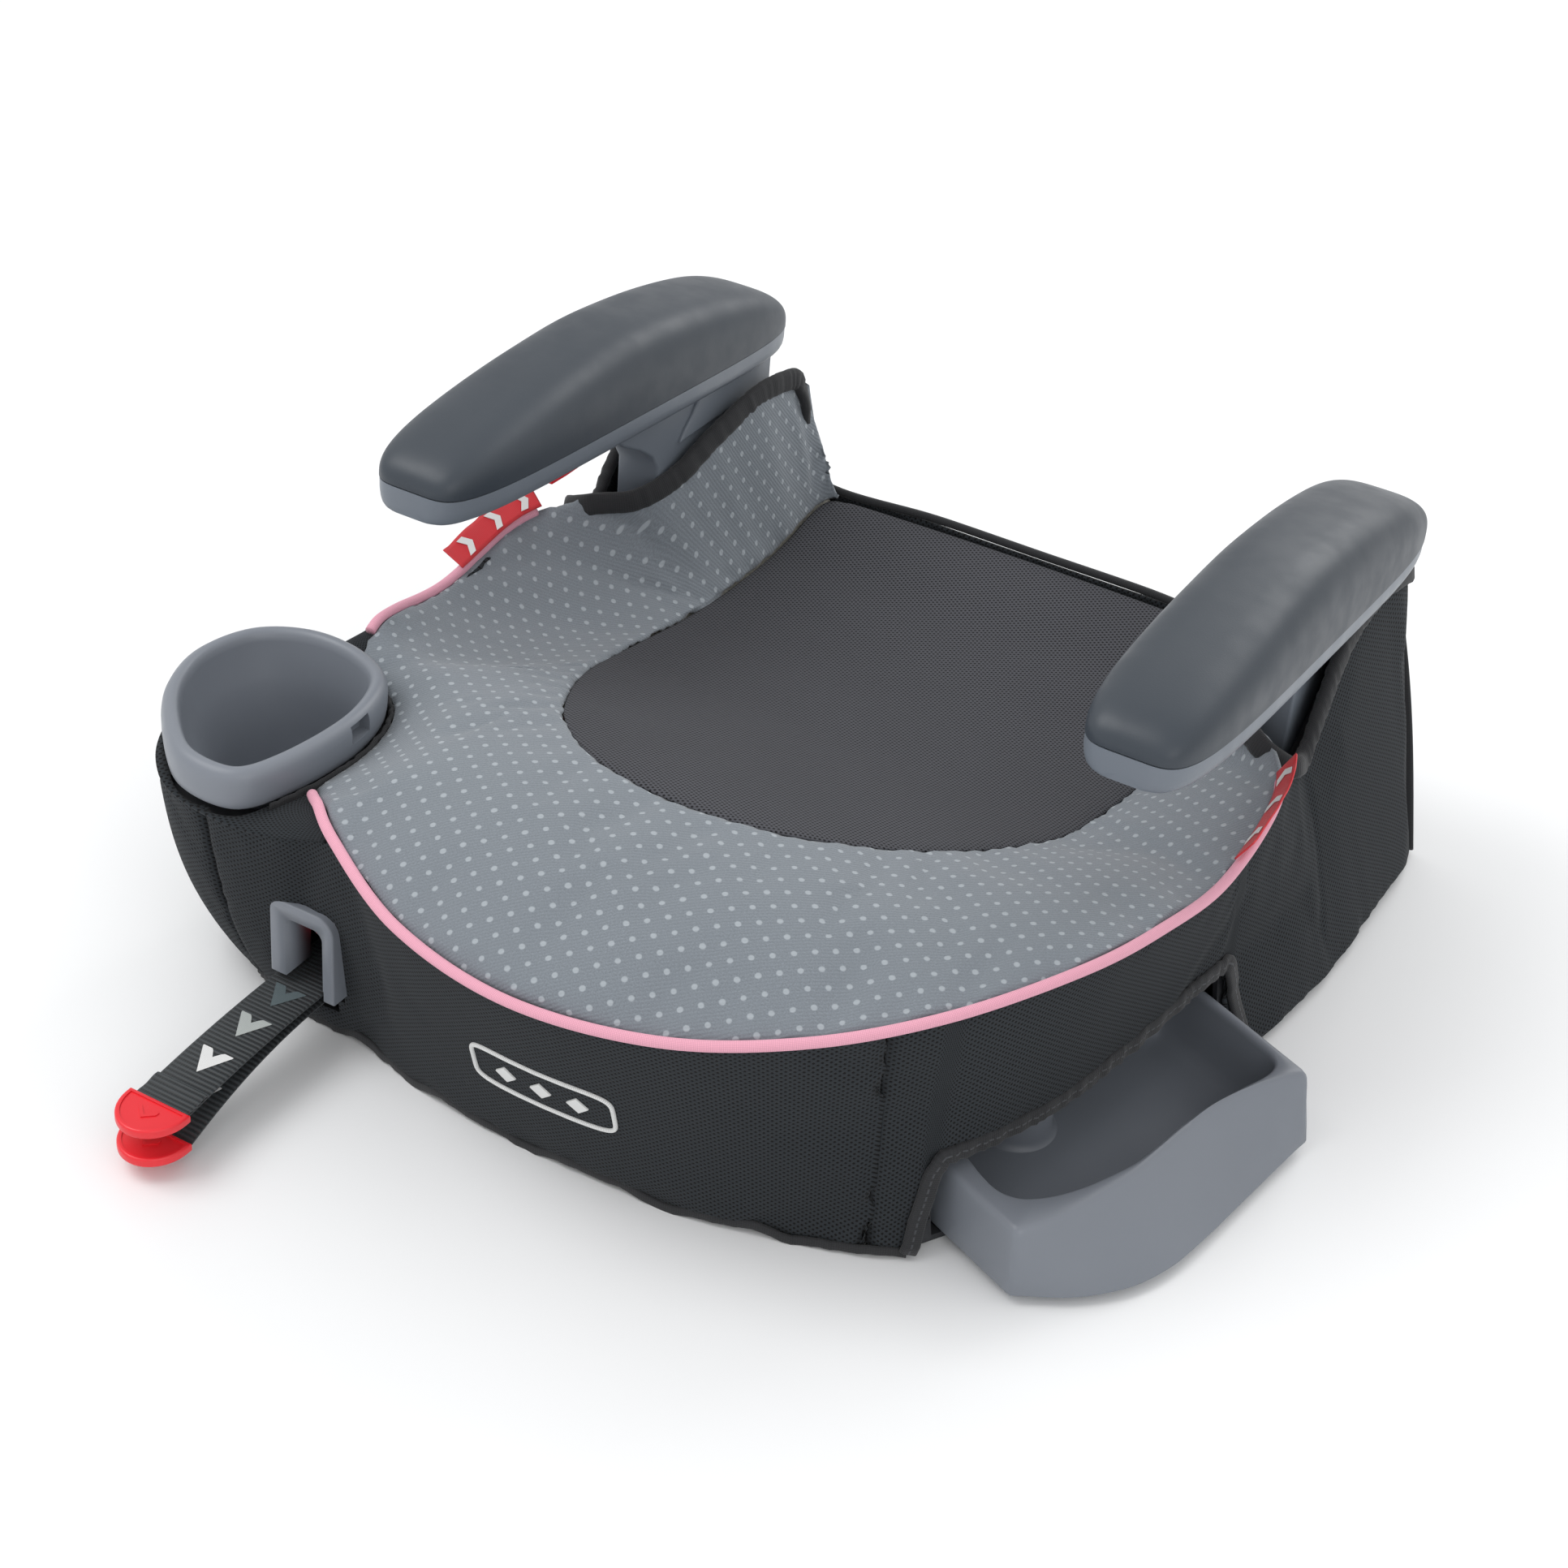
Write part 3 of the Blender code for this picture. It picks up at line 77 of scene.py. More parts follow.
INSERT_EDGE = [
    (0.000, -0.1400), (0.045, -0.1310), (0.080, -0.1020), (0.102, -0.0650), (0.115, -0.0300),
    (0.120, 0.0000), (0.1215, 0.0280), (0.1218, 0.0550), (0.1217, 0.0750), (0.1213, 0.0950),
    (0.1210, 0.1150), (0.1205, 0.1400), (0.1205, 0.1650), (0.1208, 0.1880), (0.1180, 0.2010),
    (0.1100, 0.2040), (0.1000, 0.2055), (0.050, 0.2070), (0.000, 0.2075),
]
LEFT_FLOOR = [
    (0.000, -0.2220), (0.060, -0.2190), (0.106, -0.2085), (0.140, -0.2055), (0.160, -0.2000),
    (0.178, -0.1910), (0.193, -0.1800), (0.203, -0.1630), (0.2065, -0.1420), (0.2065, -0.1200),
    (0.2055, -0.0950), (0.206, -0.0650),
]
LEFT_OUTER_TOP = [
    (0.000, -0.2580, 0.1100), (0.060, -0.2470, 0.1115), (0.110, -0.2235, 0.1160),
    (0.140, -0.2270, 0.1110), (0.168, -0.2290, 0.1100), (0.198, -0.2235, 0.1100),
    (0.2190, -0.2070, 0.1100), (0.2325, -0.1825, 0.1100), (0.2375, -0.1560, 0.1100),
    (0.2330, -0.1310, 0.1100), (0.2160, -0.1080, 0.1110), (0.2000, -0.0750, 0.1160),
]
LEFT_MATCH = [0, 1, 2, 2.5, 2.9, 3.2, 3.5, 3.8, 4.1, 4.4, 4.8, 5.3]
FRONT = 24  # place of station 0 in the arrays
LEFT_EXTRA = 6  # the left side has this many stations more
RIGHT_END, LEFT_END = 18, -24
WAIST_AT = [-11, -9, -7, -5, -4, -3, -2, 0, 2, 3, 4, 5, 6, 7, 8, 9]
WAIST = [0.0, -0.008, -0.012, -0.009, -0.006, -0.002, 0.001, 0.002, 0.003, 0.004, 0.008, 0.011, 0.008,
         0.004, 0.002, 0.0]
RIDGE_Y = [-0.140, -0.120, -0.100, -0.060, 0.000, 0.060, 0.100, 0.150, 0.190, 0.212]
RIDGE_Z = [0.1375, 0.1310, 0.1240, 0.1105, 0.0917, 0.0800, 0.0765, 0.0775, 0.0850, 0.0905]
CROWN_AT = [0, 3, 5, 7, 8.5, 12, 18]
CROWN = [0.012, 0.009, 0.004, 0.002, -0.006, -0.010, 0.0]
LEFT_SEAM, RIGHT_SEAM, REAR_SEAM = 4.3, 2.6, 14.4
LEFT_REAR_SEAM = -REAR_SEAM - LEFT_EXTRA
TOP_END = 14.5
WING_ROUND = 0.0125

CUP_CENTRE = np.array([-0.1940, -0.1680])
CUP_RIM = [
    (-0.2138, -0.2078), (-0.2314, -0.1842), (-0.2386, -0.1557), (-0.2300, -0.1275),
    (-0.2070, -0.1125), (-0.1790, -0.1130), (-0.1560, -0.1270), (-0.1460, -0.1600),
    (-0.1500, -0.2020), (-0.1620, -0.2250), (-0.1900, -0.2255),
]
CUP_COLLAR, CUP_FLOOR = 0.1112, 0.0615
DIP_START, DIP_SLOPE, DIP_BLEND = -0.0010, 0.45, 0.0015
WELL_CENTRE = np.array([-0.1810, -0.1510])
WELL_RADIUS = 0.0315

DRAWER_TURN = math.radians(24.0)
DRAWER_CORNER = np.array([0.1905, -0.1873])
DRAWER_BACK, DRAWER_LENGTH = -0.0980, 0.1710
DRAWER_BOTTOM, DRAWER_TOP = 0.0045, 0.0385
FACE_LOW = [(0.0, 0.003), (0.015, 0.016), (0.030, 0.023), (0.048, 0.0275), (0.070, 0.0265),
            (0.100, 0.0186), (0.131, 0.0095), (0.171, -0.002)]
FACE_HIGH = [(0.0, 0.003), (0.0165, 0.0072), (0.039, 0.0055), (0.063, 0.0025), (0.092, -0.0052),
             (0.121, -0.0118), (0.145, -0.0125), (0.171, -0.0080)]

TRAY_RIM = [
    (0.0120, -0.0600), (0.0120, -0.0440), (0.0100, -0.0300), (0.0100, -0.0200), (0.0135, -0.0130),
    (0.0190, -0.0092), (0.0275, -0.0060), (0.0380, -0.0042), (0.0470, -0.0037), (0.0600, -0.0038),
    (0.0700, -0.0046), (0.0840, -0.0078), (0.0970, -0.0112), (0.1110, -0.0141), (0.1240, -0.0157),
    (0.1400, -0.0166), (0.1530, -0.0172), (0.1610, -0.0200), (0.1645, -0.0270), (0.1650, -0.0400),
    (0.1650, -0.0600), (0.1645, -0.0830), (0.1600, -0.0905), (0.1500, -0.0920), (0.1200, -0.0920),
    (0.0850, -0.0920), (0.0500, -0.0920), (0.0250, -0.0920), (0.0160, -0.0900), (0.0122, -0.0820),
]
TRAY_MIDDLE = (0.0850, -0.0500)

ARM_X, PAD_X, PAD_SQUARE = 0.1675, 0.1710, 5.0
ARM_FRONT, ARM_REAR, ARM_HALF = -0.0915, 0.2040, 0.0290
RIM_FRONT, RIM_DROP, PLATE_DEEP = 0.2005, 0.0225, 0.0125
DOME_AT = [0.0, 0.145, 0.29, 0.49, 0.68, 0.86, 1.0]
DOME_HIGH = [0.0140, 0.0235, 0.0312, 0.0378, 0.0352, 0.0280, 0.0150]
POST_HALF, POST_FRONT, POST_REAR = 0.0115, 0.0900, 0.1965

STRAP_X, STRAP_HALF, STRAP_THICK = -0.1338, 0.0128, 0.0016
TAB_START, TAB_HALF, TAB_DEEP = -0.3095, 0.0155, 0.0180
BEZEL_Y = -0.2220
STRAP_BEND = 0.0810
STRAP_FALL = {"upper": (0.0306, 0.0255), "lower": (0.0262, 0.0105)}
SIGN = {"left": -1.0, "right": 1.0}
TAG_WIDTH, TAG_FLAT = 0.0127, 0.0140
TAG_LEAN = {"left": 0.50, "right": 1.65}
PATCH_STATION, PATCH_HEIGHT, PATCH_SCALE = 0.05, 0.052, 0.0610

# ---- the camera: degrees, and metres -------------------------------------------------------------
CAMERA_AZIMUTH, CAMERA_ELEVATION, CAMERA_ROLL = 27.5349, 34.0977, 5.134
CAMERA_AIM, CAMERA_FAR, CAMERA_LENS = (-0.0121, -0.0237, 0.0756), 1.3208, 67.16


# ---- materials ---------------------------------------------------------------------------------
def srgb(red, green, blue):
    """Linear colour of a screen colour from 0 to 255."""
    out = []
    for value in (red, green, blue):
        value /= 255.0
        out.append(value / 12.92 if value <= 0.04045 else ((value + 0.055) / 1.055) ** 2.4)
    return (*out, 1.0)


class Look:
    """A Principled material that is put together step by step."""

    def __init__(self, name, colour, rough, **sockets):
        self.mat = bpy.data.materials.new(name)
        self.mat.use_nodes = True
        self.tree = self.mat.node_tree
        self.out = self.tree.nodes["Principled BSDF"]
        self.colour = colour
        self.out.inputs["Base Color"].default_value = colour
        self.out.inputs["Roughness"].default_value = rough
        for key, value in sockets.items():
            self.out.inputs[key.replace("_", " ")].default_value = value
        self.normal = None

    def node(self, kind, inputs=(), **props):
        made = self.tree.nodes.new("ShaderNode" + kind)
        for key, value in props.items():
            setattr(made, key, value)
        self.fill(made, inputs)
        return made

    def fill(self, made, inputs):
        """Give a node its inputs: a socket is linked, anything else is a value."""
        for key, value in inputs:
            if isinstance(value, bpy.types.NodeSocket):
                self.tree.links.new(value, made.inputs[key])
            else:
                made.inputs[key].default_value = value

    def math(self, operation, first, second=0.0, third=0.0):
        inputs = [(0, first), (1, second), (2, third)]
        return self.node("Math", inputs, operation=operation).outputs[0]

    def vector(self, operation, first, second=(0.0, 0.0, 0.0)):
        made = self.node("VectorMath", [(0, first), (1, second)], operation=operation)
        return made.outputs["Value"] if operation == "LENGTH" else made.outputs[0]

    def cloth(self):
        """Coordinates along the cloth, in metres."""
        return self.node("UVMap", uv_map="cloth").outputs[0]

    def place(self):
        """Coordinates in the piece's own frame, in metres."""
        return self.node("TexCoord").outputs["Object"]

    def noise(self, where, scale, detail=2.0, rough=0.5):
        inputs = [("Vector", where), ("Scale", scale), ("Detail", detail), ("Roughness", rough)]
        return self.node("TexNoise", inputs).outputs["Fac"]

    def ramp(self, value, low, high, bottom=0.0, top=1.0):
        inputs = [(0, value), (1, low), (2, high), (3, bottom), (4, top)]
        return self.node("MapRange", inputs, interpolation_type="SMOOTHSTEP").outputs[0]

    def mix(self, factor, first, second):
        made = self.tree.nodes.new("ShaderNodeMix")
        made.data_type = "RGBA"
        self.fill(made, [(0, factor), (6, first), (7, second)])
        return made.outputs[2]

    def paint(self, socket):
        self.tree.links.new(socket, self.out.inputs["Base Color"])

    def gloss(self, socket):
        self.tree.links.new(socket, self.out.inputs["Roughness"])

    def bump(self, height, distance, strength=1.0):
        inputs = [("Height", height), ("Distance", distance), ("Strength", strength)]
        made = self.node("Bump", inputs)
        if self.normal is not None:
            self.tree.links.new(self.normal, made.inputs["Normal"])
        self.normal = made.outputs[0]
        self.tree.links.new(self.normal, self.out.inputs["Normal"])

    def lattice(self, where, across, along):
        """Distance in metres to the nearest point of a staggered lattice."""
        cell = (across, along, 1.0)
        scaled = self.vector("DIVIDE", where, cell)
        parts = []
        for shift in ((0.0, 0.0, 0.0), (0.5, 0.5, 0.0)):
            part = self.vector("FRACTION", self.vector("ADD", scaled, shift))
            part = self.vector("SUBTRACT", part, (0.5, 0.5, 0.0))
            part = self.vector("MULTIPLY", part, (across, along, 0.0))
            parts.append(self.vector("LENGTH", part))
        return self.math("MINIMUM", *parts)

    def stripes(self, where, axis, pitch):
        """0 to 1 waves along one axis of the coordinates."""
        split = self.node("SeparateXYZ", [(0, where)]).outputs[axis]
        wave = self.math("SINE", self.math("MULTIPLY", split, 2 * math.pi / pitch))
        return self.math("MULTIPLY_ADD", wave, 0.5, 0.5)


def dim(colour, factor):
    return (*(min(1.0, c * factor) for c in colour[:3]), 1.0)


def plastic(name, colour, rough=0.5, grain=0.00004):
    look = Look(name, colour, rough, Specular_IOR_Level=0.45)
    place = look.place()
    clouds = look.noise(place, 14.0, 3.0)
    look.paint(look.mix(clouds, dim(colour, 0.93), dim(colour, 1.07)))
    look.gloss(look.ramp(look.noise(place, 60.0, 3.0), 0.3, 0.7, rough - 0.04, rough + 0.05))
    look.bump(look.noise(place, 1700.0, 2.0), grain, 0.6)
    return look.mat


def spacer_mesh(name, ground, hole, across, along, eye):
    """Knitted mesh with staggered eyes."""
    look = Look(name, ground, 0.92, Sheen_Weight=0.03, Sheen_Roughness=0.6, Specular_IOR_Level=0.22)
    cloth = look.cloth()
    far = look.lattice(cloth, across, along)
    thread = look.ramp(far, eye * 0.55, eye * 1.25)
    fibre = look.noise(cloth, 2200.0, 2.0)
    clouds = look.noise(cloth, 16.0, 3.0)
    tone = look.mix(fibre, dim(ground, 0.72), dim(ground, 1.28))
    tone = look.mix(look.ramp(clouds, 0.2, 0.8, 0.0, 0.35), tone, dim(ground, 0.80))
    look.paint(look.mix(thread, hole, tone))
    look.bump(thread, 0.0005, 0.8)
    look.bump(fibre, 0.00012, 0.5)
    return look.mat


def dotted_knit():
    """Grey knit with a staggered pattern of small light dots."""
    ground, dot = srgb(114, 121, 128), srgb(156, 163, 169)
    look = Look("dotted_knit", ground, 0.8, Sheen_Weight=0.18, Sheen_Roughness=0.5)
    cloth = look.cloth()
    wobble = look.noise(cloth, 140.0, 2.0)
    shake = look.math("MULTIPLY", wobble, 0.0007)
    far = look.math("ADD", look.lattice(cloth, 0.0125, 0.0108), shake)
    dots = look.ramp(far, 0.0013, 0.0019, 1.0, 0.0)
    turned = look.node("VectorRotate", [("Vector", cloth), ("Angle", 0.9)], rotation_type="Z_AXIS")
    rib = look.stripes(turned.outputs[0], 0, 0.0016)
    speck = look.noise(cloth, 1500.0, 3.0, 0.7)
    clouds = look.noise(cloth, 22.0, 3.0)
    tone = look.mix(look.ramp(speck, 0.32, 0.68), dim(ground, 0.80), dim(ground, 1.18))
    tone = look.mix(look.math("MULTIPLY", rib, 0.30), tone, dim(ground, 0.84))
    tone = look.mix(look.ramp(clouds, 0.25, 0.75, 0.0, 0.30), tone, dim(ground, 0.90))
    look.paint(look.mix(look.math("MULTIPLY", dots, 0.85), tone, dot))
    look.bump(rib, 0.00018, 0.6)
    look.bump(dots, 0.0002, 0.6)
    look.bump(speck, 0.00015, 0.5)
    return look.mat


def woven(name, colour, pitch, rough=0.85, stitch=None, depth=0.00015):
    """Tape or cord with a fine cross weave; stitch is (offset from one edge, colour)."""
    look = Look(name, colour, rough, Sheen_Weight=0.10, Sheen_Roughness=0.5)
    cloth = look.cloth()
    warp, weft = look.stripes(cloth, 0, pitch), look.stripes(cloth, 1, pitch * 0.7)
    weave = look.math("MULTIPLY", warp, weft)
    fibre = look.noise(cloth, 1800.0, 2.0)
    tone = look.mix(weave, dim(colour, 0.75), dim(colour, 1.30))
    tone = look.mix(look.math("MULTIPLY", fibre, 0.4), tone, dim(colour, 0.80))
    if stitch is not None:
        offset, thread = stitch
        split = look.node("SeparateXYZ", [(0, cloth)])
        near = look.math("ABSOLUTE", look.math("SUBTRACT", split.outputs[1], offset))
        line = look.ramp(near, 0.0003, 0.0006, 1.0, 0.0)
        beat = look.math("FRACT", look.math("DIVIDE", split.outputs[0], 0.0034))
        dash = look.ramp(beat, 0.60, 0.68, 1.0, 0.0)
        seam = look.math("MULTIPLY", line, dash)
        tone = look.mix(seam, tone, thread)
        look.bump(seam, 0.0003, 0.8)
    look.paint(tone)
    look.bump(weave, depth, 0.7)
    return look.mat


def webbing(name, colour, along, sewn=True):
    """Belt webbing with a heavy rib across its length; along is the axis of its length."""
    look = Look(name, colour, 0.6, Sheen_Weight=0.15, Sheen_Roughness=0.4)
    place = look.cloth() if sewn else look.place()
    rib = look.stripes(place, along, 0.0024)
    edge = look.stripes(place, 1 - along, 0.0011)
    fibre = look.noise(place, 2000.0, 2.0)
    tone = look.mix(rib, dim(colour, 0.35), dim(colour, 1.5))
    look.paint(look.mix(look.math("MULTIPLY", fibre, 0.5), tone, dim(colour, 0.7)))
    look.bump(rib, 0.0004, 0.9)
    look.bump(edge, 0.0001, 0.4)
    return look.mat


def metal(name, colour, rough):
    look = Look(name, colour, rough, Metallic=1.0)
    place = look.place()
    streak = look.noise(look.vector("MULTIPLY", place, (300.0, 40.0, 300.0)), 8.0, 3.0)
    look.gloss(look.ramp(streak, 0.3, 0.7, rough - 0.06, rough + 0.12))
    look.paint(look.mix(look.noise(place, 30.0), dim(colour, 0.85), dim(colour, 1.1)))
    look.bump(streak, 0.00002, 0.5)
    return look.mat


def foam():
    look = Look("foam", srgb(186, 184, 176), 0.95)
    place = look.place()
    cells = look.node("TexVoronoi", [("Vector", place), ("Scale", 900.0)]).outputs["Distance"]
    look.paint(look.mix(cells, srgb(150, 148, 140), srgb(200, 198, 190)))
    look.bump(cells, 0.0003, 0.8)
    return look.mat


def floor_look():
    look = Look("studio_floor", srgb(236, 237, 238), 0.6)
    place = look.place()
    look.paint(look.mix(look.noise(place, 3.0, 4.0), srgb(234, 235, 236), srgb(240, 241, 242)))
    look.bump(look.noise(place, 500.0), 0.00005, 0.3)
    return look.mat


DOTTED = dotted_knit()
SKIRT_MESH = spacer_mesh("skirt_mesh", srgb(42, 46, 50), srgb(10, 11, 13), 0.0032, 0.0024, 0.00062)
SEAT_MESH = spacer_mesh("seat_mesh", srgb(73, 74, 79), srgb(25, 25, 28), 0.0034, 0.0022, 0.00060)
TAPE = woven("black_tape", srgb(34, 35, 38), 0.0010, stitch=(0.0066, srgb(62, 64, 68)))
PLAIN_TAPE = woven("plain_black_tape", srgb(32, 33, 36), 0.0010)
PINK = woven("pink_piping", srgb(236, 166, 186), 0.0007, 0.75)
RED_TAPE = woven("red_tape", srgb(214, 40, 50), 0.0006, 0.45)
WHITE_TAPE = woven("white_print", srgb(232, 233, 232), 0.0006, 0.6, depth=0.00008)
# Two darker copies of the white print: painted shade on the strap arrows nearest the strap opening
PRINT_PAINTED_HALF_SHADE = woven("print_painted_half_shade", srgb(178, 184, 182), 0.0006, 0.6, depth=0.00008)
PRINT_PAINTED_SHADE = woven("print_painted_shade", srgb(84, 98, 102), 0.0006, 0.6, depth=0.00008)
THREAD = woven("white_thread", srgb(224, 225, 224), 0.0008, 0.7)
WEBBING = webbing("strap_webbing", srgb(42, 47, 50), 0)
WEBBING_FLAT = webbing("hidden_webbing", srgb(42, 47, 50), 1, sewn=False)
GREY = plastic("grey_plastic", srgb(116, 121, 129), 0.40)
PLATE_GREY = plastic("plate_plastic", srgb(108, 115, 124), 0.40)
SLATE = plastic("soft_touch", srgb(50, 57, 65), 0.45, 0.00006)
RED_PLASTIC = plastic("red_plastic", srgb(222, 38, 48), 0.32, 0.00002)
RESIN = plastic("resin", srgb(46, 47, 50), 0.55, 0.00008)
STEEL = metal("zinc_steel", srgb(176, 180, 184), 0.34)
FOAM = foam()


# ---- curves and sheets -------------------------------------------------------------------------
def spline(points, where):
    """Catmull-Rom points on an open run of control points, at the given station numbers."""
    points = np.array(points, float)
    ends = np.concatenate([[2 * points[0] - points[1]], points, [2 * points[-1] - points[-2]]])
    out = []
    for w in where:
        k = min(max(int(w), 0), len(points) - 2)
        f = w - k
        a, b, c, d = ends[k:k + 4]
        out.append(0.5 * (2 * b + (c - a) * f + (2 * a - 5 * b + 4 * c - d) * f ** 2
                          + (3 * b - a - 3 * c + d) * f ** 3))
    return np.array(out)


def eased(xs, ys, blur):
    """A smooth function through a broken line, rounded over about blur."""
    fine = np.arange(min(xs) - 3 * blur, max(xs) + 3 * blur, blur / 6)
    kernel = np.exp(-0.5 * (np.arange(-18, 19) / 6.0) ** 2)
    level = np.pad(np.interp(fine, xs, ys), 18, mode="edge")
    level = np.convolve(level, kernel / kernel.sum(), mode="valid")
    return lambda at: np.interp(at, fine, level)


def all_stations(right, left=None, dims=2):
    right = np.array(right, float)
    left_part = spline(right, LEFT_MATCH) if left is None else np.array(left, float)
    left_side = np.vstack([left_part, right[6:]]) * np.array([-1.0] + [1.0] * (dims - 1))
    return np.vstack([left_side[:0:-1], right])


STATION_FLOOR = all_stations(FLOOR, LEFT_FLOOR)
STATION_OUTER = all_stations(OUTER_TOP, LEFT_OUTER_TOP, 3)
STATION_INNER = all_stations(INNER_TOP, None, 3)
STATION_INSERT = all_stations(INSERT_EDGE)
ridge = eased(RIDGE_Y, RIDGE_Z, 0.010)
waist = eased(WAIST_AT, WAIST, 0.45)
crown = eased(CROWN_AT, CROWN, 0.5)


def run(first, last, per_station=10):
    return np.linspace(first, last, max(2, round((last - first) * per_station) + 1)) + FRONT


def rear_run(per_station):
    """Places across the rear panel, from its right seam to its left one."""
    right = run(REAR_SEAM, RIGHT_END, per_station)
    return np.concatenate([right, run(LEFT_END, LEFT_REAR_SEAM, per_station)[1:]])


def skirt_point_rows(where, heights):
    """The outside of the cover at absolute heights, one array of heights per row."""
    floor = spline(STATION_FLOOR, where)
    top = spline(STATION_OUTER, where)
    pinch = waist(where - FRONT)
    sheet = []
    for level in heights:
        share = (np.broadcast_to(level, len(where)) / top[:, 2])[:, None]
        plan = floor * (1 - share) + top[:, :2] * share
        inward = np.array([0.0, 0.04]) - plan
        inward /= np.linalg.norm(inward, axis=1)[:, None]
        bent = np.clip(share[:, 0], 0.0, 1.0) ** 0.8
        plan = plan + inward * (pinch * np.sin(math.pi * bent))[:, None]
        sheet.append(np.column_stack([plan, np.broadcast_to(level, len(where))]))
    return np.array(sheet)


def cup_outline(grow, sides):
    rim = np.array(CUP_RIM)
    closed = np.vstack([rim[-2:], rim, rim[:3]])
    line = spline(closed, 2 + np.arange(sides) * len(rim) / sides)
    along = np.roll(line, -1, axis=0) - np.roll(line, 1, axis=0)
    out = unit(np.column_stack([along[:, 1], -along[:, 0]]))
    turn = np.sign(np.sum((line - CUP_CENTRE) * out, axis=1).mean())
    return line + out * grow * turn


def ring_at(outline, z):
    return np.column_stack([outline, np.full(len(outline), z)])


def cup_dip(sheet):
    """Lower a sheet so that it slopes down to the cup holder's collar."""
    flat = sheet[:, :, None, :2] - cup_outline(0.0, 72)[None, None, :, :]
    slope = CUP_COLLAR + DIP_START + DIP_SLOPE * np.linalg.norm(flat, axis=3).min(axis=2)
    sheet[:, :, 2] = -DIP_BLEND * np.logaddexp(-sheet[:, :, 2] / DIP_BLEND, -slope / DIP_BLEND)
    return sheet


def inner_edge(where):
    """The seam between the dotted panel and the skirt."""
    return cup_dip(spline(STATION_INNER, where)[None])[0]


def pad_sheet(where, rows):
    inside = spline(STATION_INSERT, where)
    edge = spline(STATION_INNER, where)
    inside = np.column_stack([inside, ridge(inside[:, 1])])
    swell = crown(np.abs(where - FRONT))
    length = np.linalg.norm(edge - inside, axis=1)
    sheet = []
    for row in rows:
        t = (row * (1.0 - wing_drop(where) / length))[:, None]
        line = inside * (1 - t) + edge * t
        line[:, 2] += swell * np.sin(math.pi * t[:, 0])
        sheet.append(line)
    return cup_dip(np.array(sheet))


def rearward(where):
    """Station numbers as on the right side, for either side."""
    return np.where(where > FRONT, where - FRONT, FRONT - where - LEFT_EXTRA)


def wing_drop(where):
    """How far the rounded rear corner of a wing lies below a square one."""
    far = rearward(where)
    spots = np.linspace(12.0, TOP_END, 26) + FRONT
    along = steps(spline(STATION_INNER, spots))
    left = np.interp(far + FRONT, spots, along[-1] - along, left=1.0, right=0.0)
    inward = np.clip(WING_ROUND - left, 0.0, WING_ROUND)
    return WING_ROUND - np.sqrt(WING_ROUND ** 2 - inward ** 2)


def outer_top(where):
    """Height of the skirt's top edge, with the wings' rounded rear corners."""
    top = spline(STATION_OUTER, where)[:, 2]
    far = rearward(where)
    corner = float(spline(STATION_OUTER, [FRONT + REAR_SEAM])[0, 2]) - WING_ROUND
    return np.where(far > REAR_SEAM - 0.02, np.minimum(top, corner), top - wing_drop(where))


def outward_of(where):
    edge = spline(STATION_INNER, where)
    along = np.gradient(edge[:, :2], axis=0)
    out = np.column_stack([along[:, 1], -along[:, 0]])
    return out / np.linalg.norm(out, axis=1)[:, None]


def level_out(where):
    """The level outward direction along the seam, in three dimensions."""
    return np.column_stack([outward_of(where), np.zeros(len(where))])


def upright(path):
    return np.broadcast_to(np.array([0.0, 0.0, 1.0]), path.shape)


def grid_of(along, across):
    """Cloth coordinates of a sheet from what its columns and rows have."""
    return np.stack(np.broadcast_arrays(along, across), axis=2)


def bowed(value, power):
    """A signed power, which squares off a circle."""
    return np.sign(value) * np.abs(value) ** power


def hann(reach):
    kernel = np.hanning(2 * reach + 1)
    return kernel / kernel.sum()


def convolved(points, kernel):
    return np.column_stack([np.convolve(column, kernel, mode="valid") for column in points.T])


def normals_of(sheet):
    normal = np.cross(np.gradient(sheet, axis=1), np.gradient(sheet, axis=0))
    return normal / np.maximum(np.linalg.norm(normal, axis=2, keepdims=True), 1e-9)


def steps(points):
    """Distance along a run of points, from its start."""
    return np.concatenate([[0.0], np.cumsum(np.linalg.norm(np.diff(points, axis=0), axis=1))])


def unit(vectors):
    return vectors / np.maximum(np.linalg.norm(vectors, axis=-1, keepdims=True), 1e-12)


def smooth_noise(seed, count, width):
    """A repeatable random run from -1 to 1, with no detail finer than width samples."""
    values = np.random.default_rng(seed).uniform(-1.0, 1.0, count + 2 * width)
    values = np.convolve(values, hann(width), mode="same")[width:width + count]
    return values / max(1e-9, np.abs(values).max())


# ---- mesh builders -----------------------------------------------------------------------------
def link(name, mesh, look):
    mesh.materials.clear()
    mesh.materials.append(look)
    obj = bpy.data.objects.new(name, mesh)
    bpy.context.scene.collection.objects.link(obj)
    return obj


def sheet_piece(name, sheet, cloth, look, thick=0.0, weld=False, sharp=None):
    """A grid of points as a mesh with cloth coordinates, thickened against its normals if asked."""
    rows, columns = sheet.shape[:2]
    faces = []
    for i in range(rows - 1):
        for j in range(columns - 1):
            a = i * columns + j
            faces.append((a, a + 1, a + columns + 1, a + columns))
    mesh = bpy.data.meshes.new(name)
    mesh.from_pydata(sheet.reshape(-1, 3).tolist(), [], faces)
    index = np.empty(len(mesh.loops), int)
    mesh.loops.foreach_get("vertex_index", index)
    layer = mesh.uv_layers.new(name="cloth")
    layer.data.foreach_set("uv", np.asarray(cloth, float).reshape(-1, 2)[index].ravel())
    if weld:
        tidy(mesh)
    mesh.shade_smooth()
    if sharp:
        mesh.set_sharp_from_angle(angle=math.radians(sharp))
    obj = link(name, mesh, look)
    if thick:
        thicken(obj, thick)
    return obj


def thicken(obj, thick):
    step = obj.modifiers.new("thickness", "SOLIDIFY")
    step.thickness = thick
    step.offset = -1.0


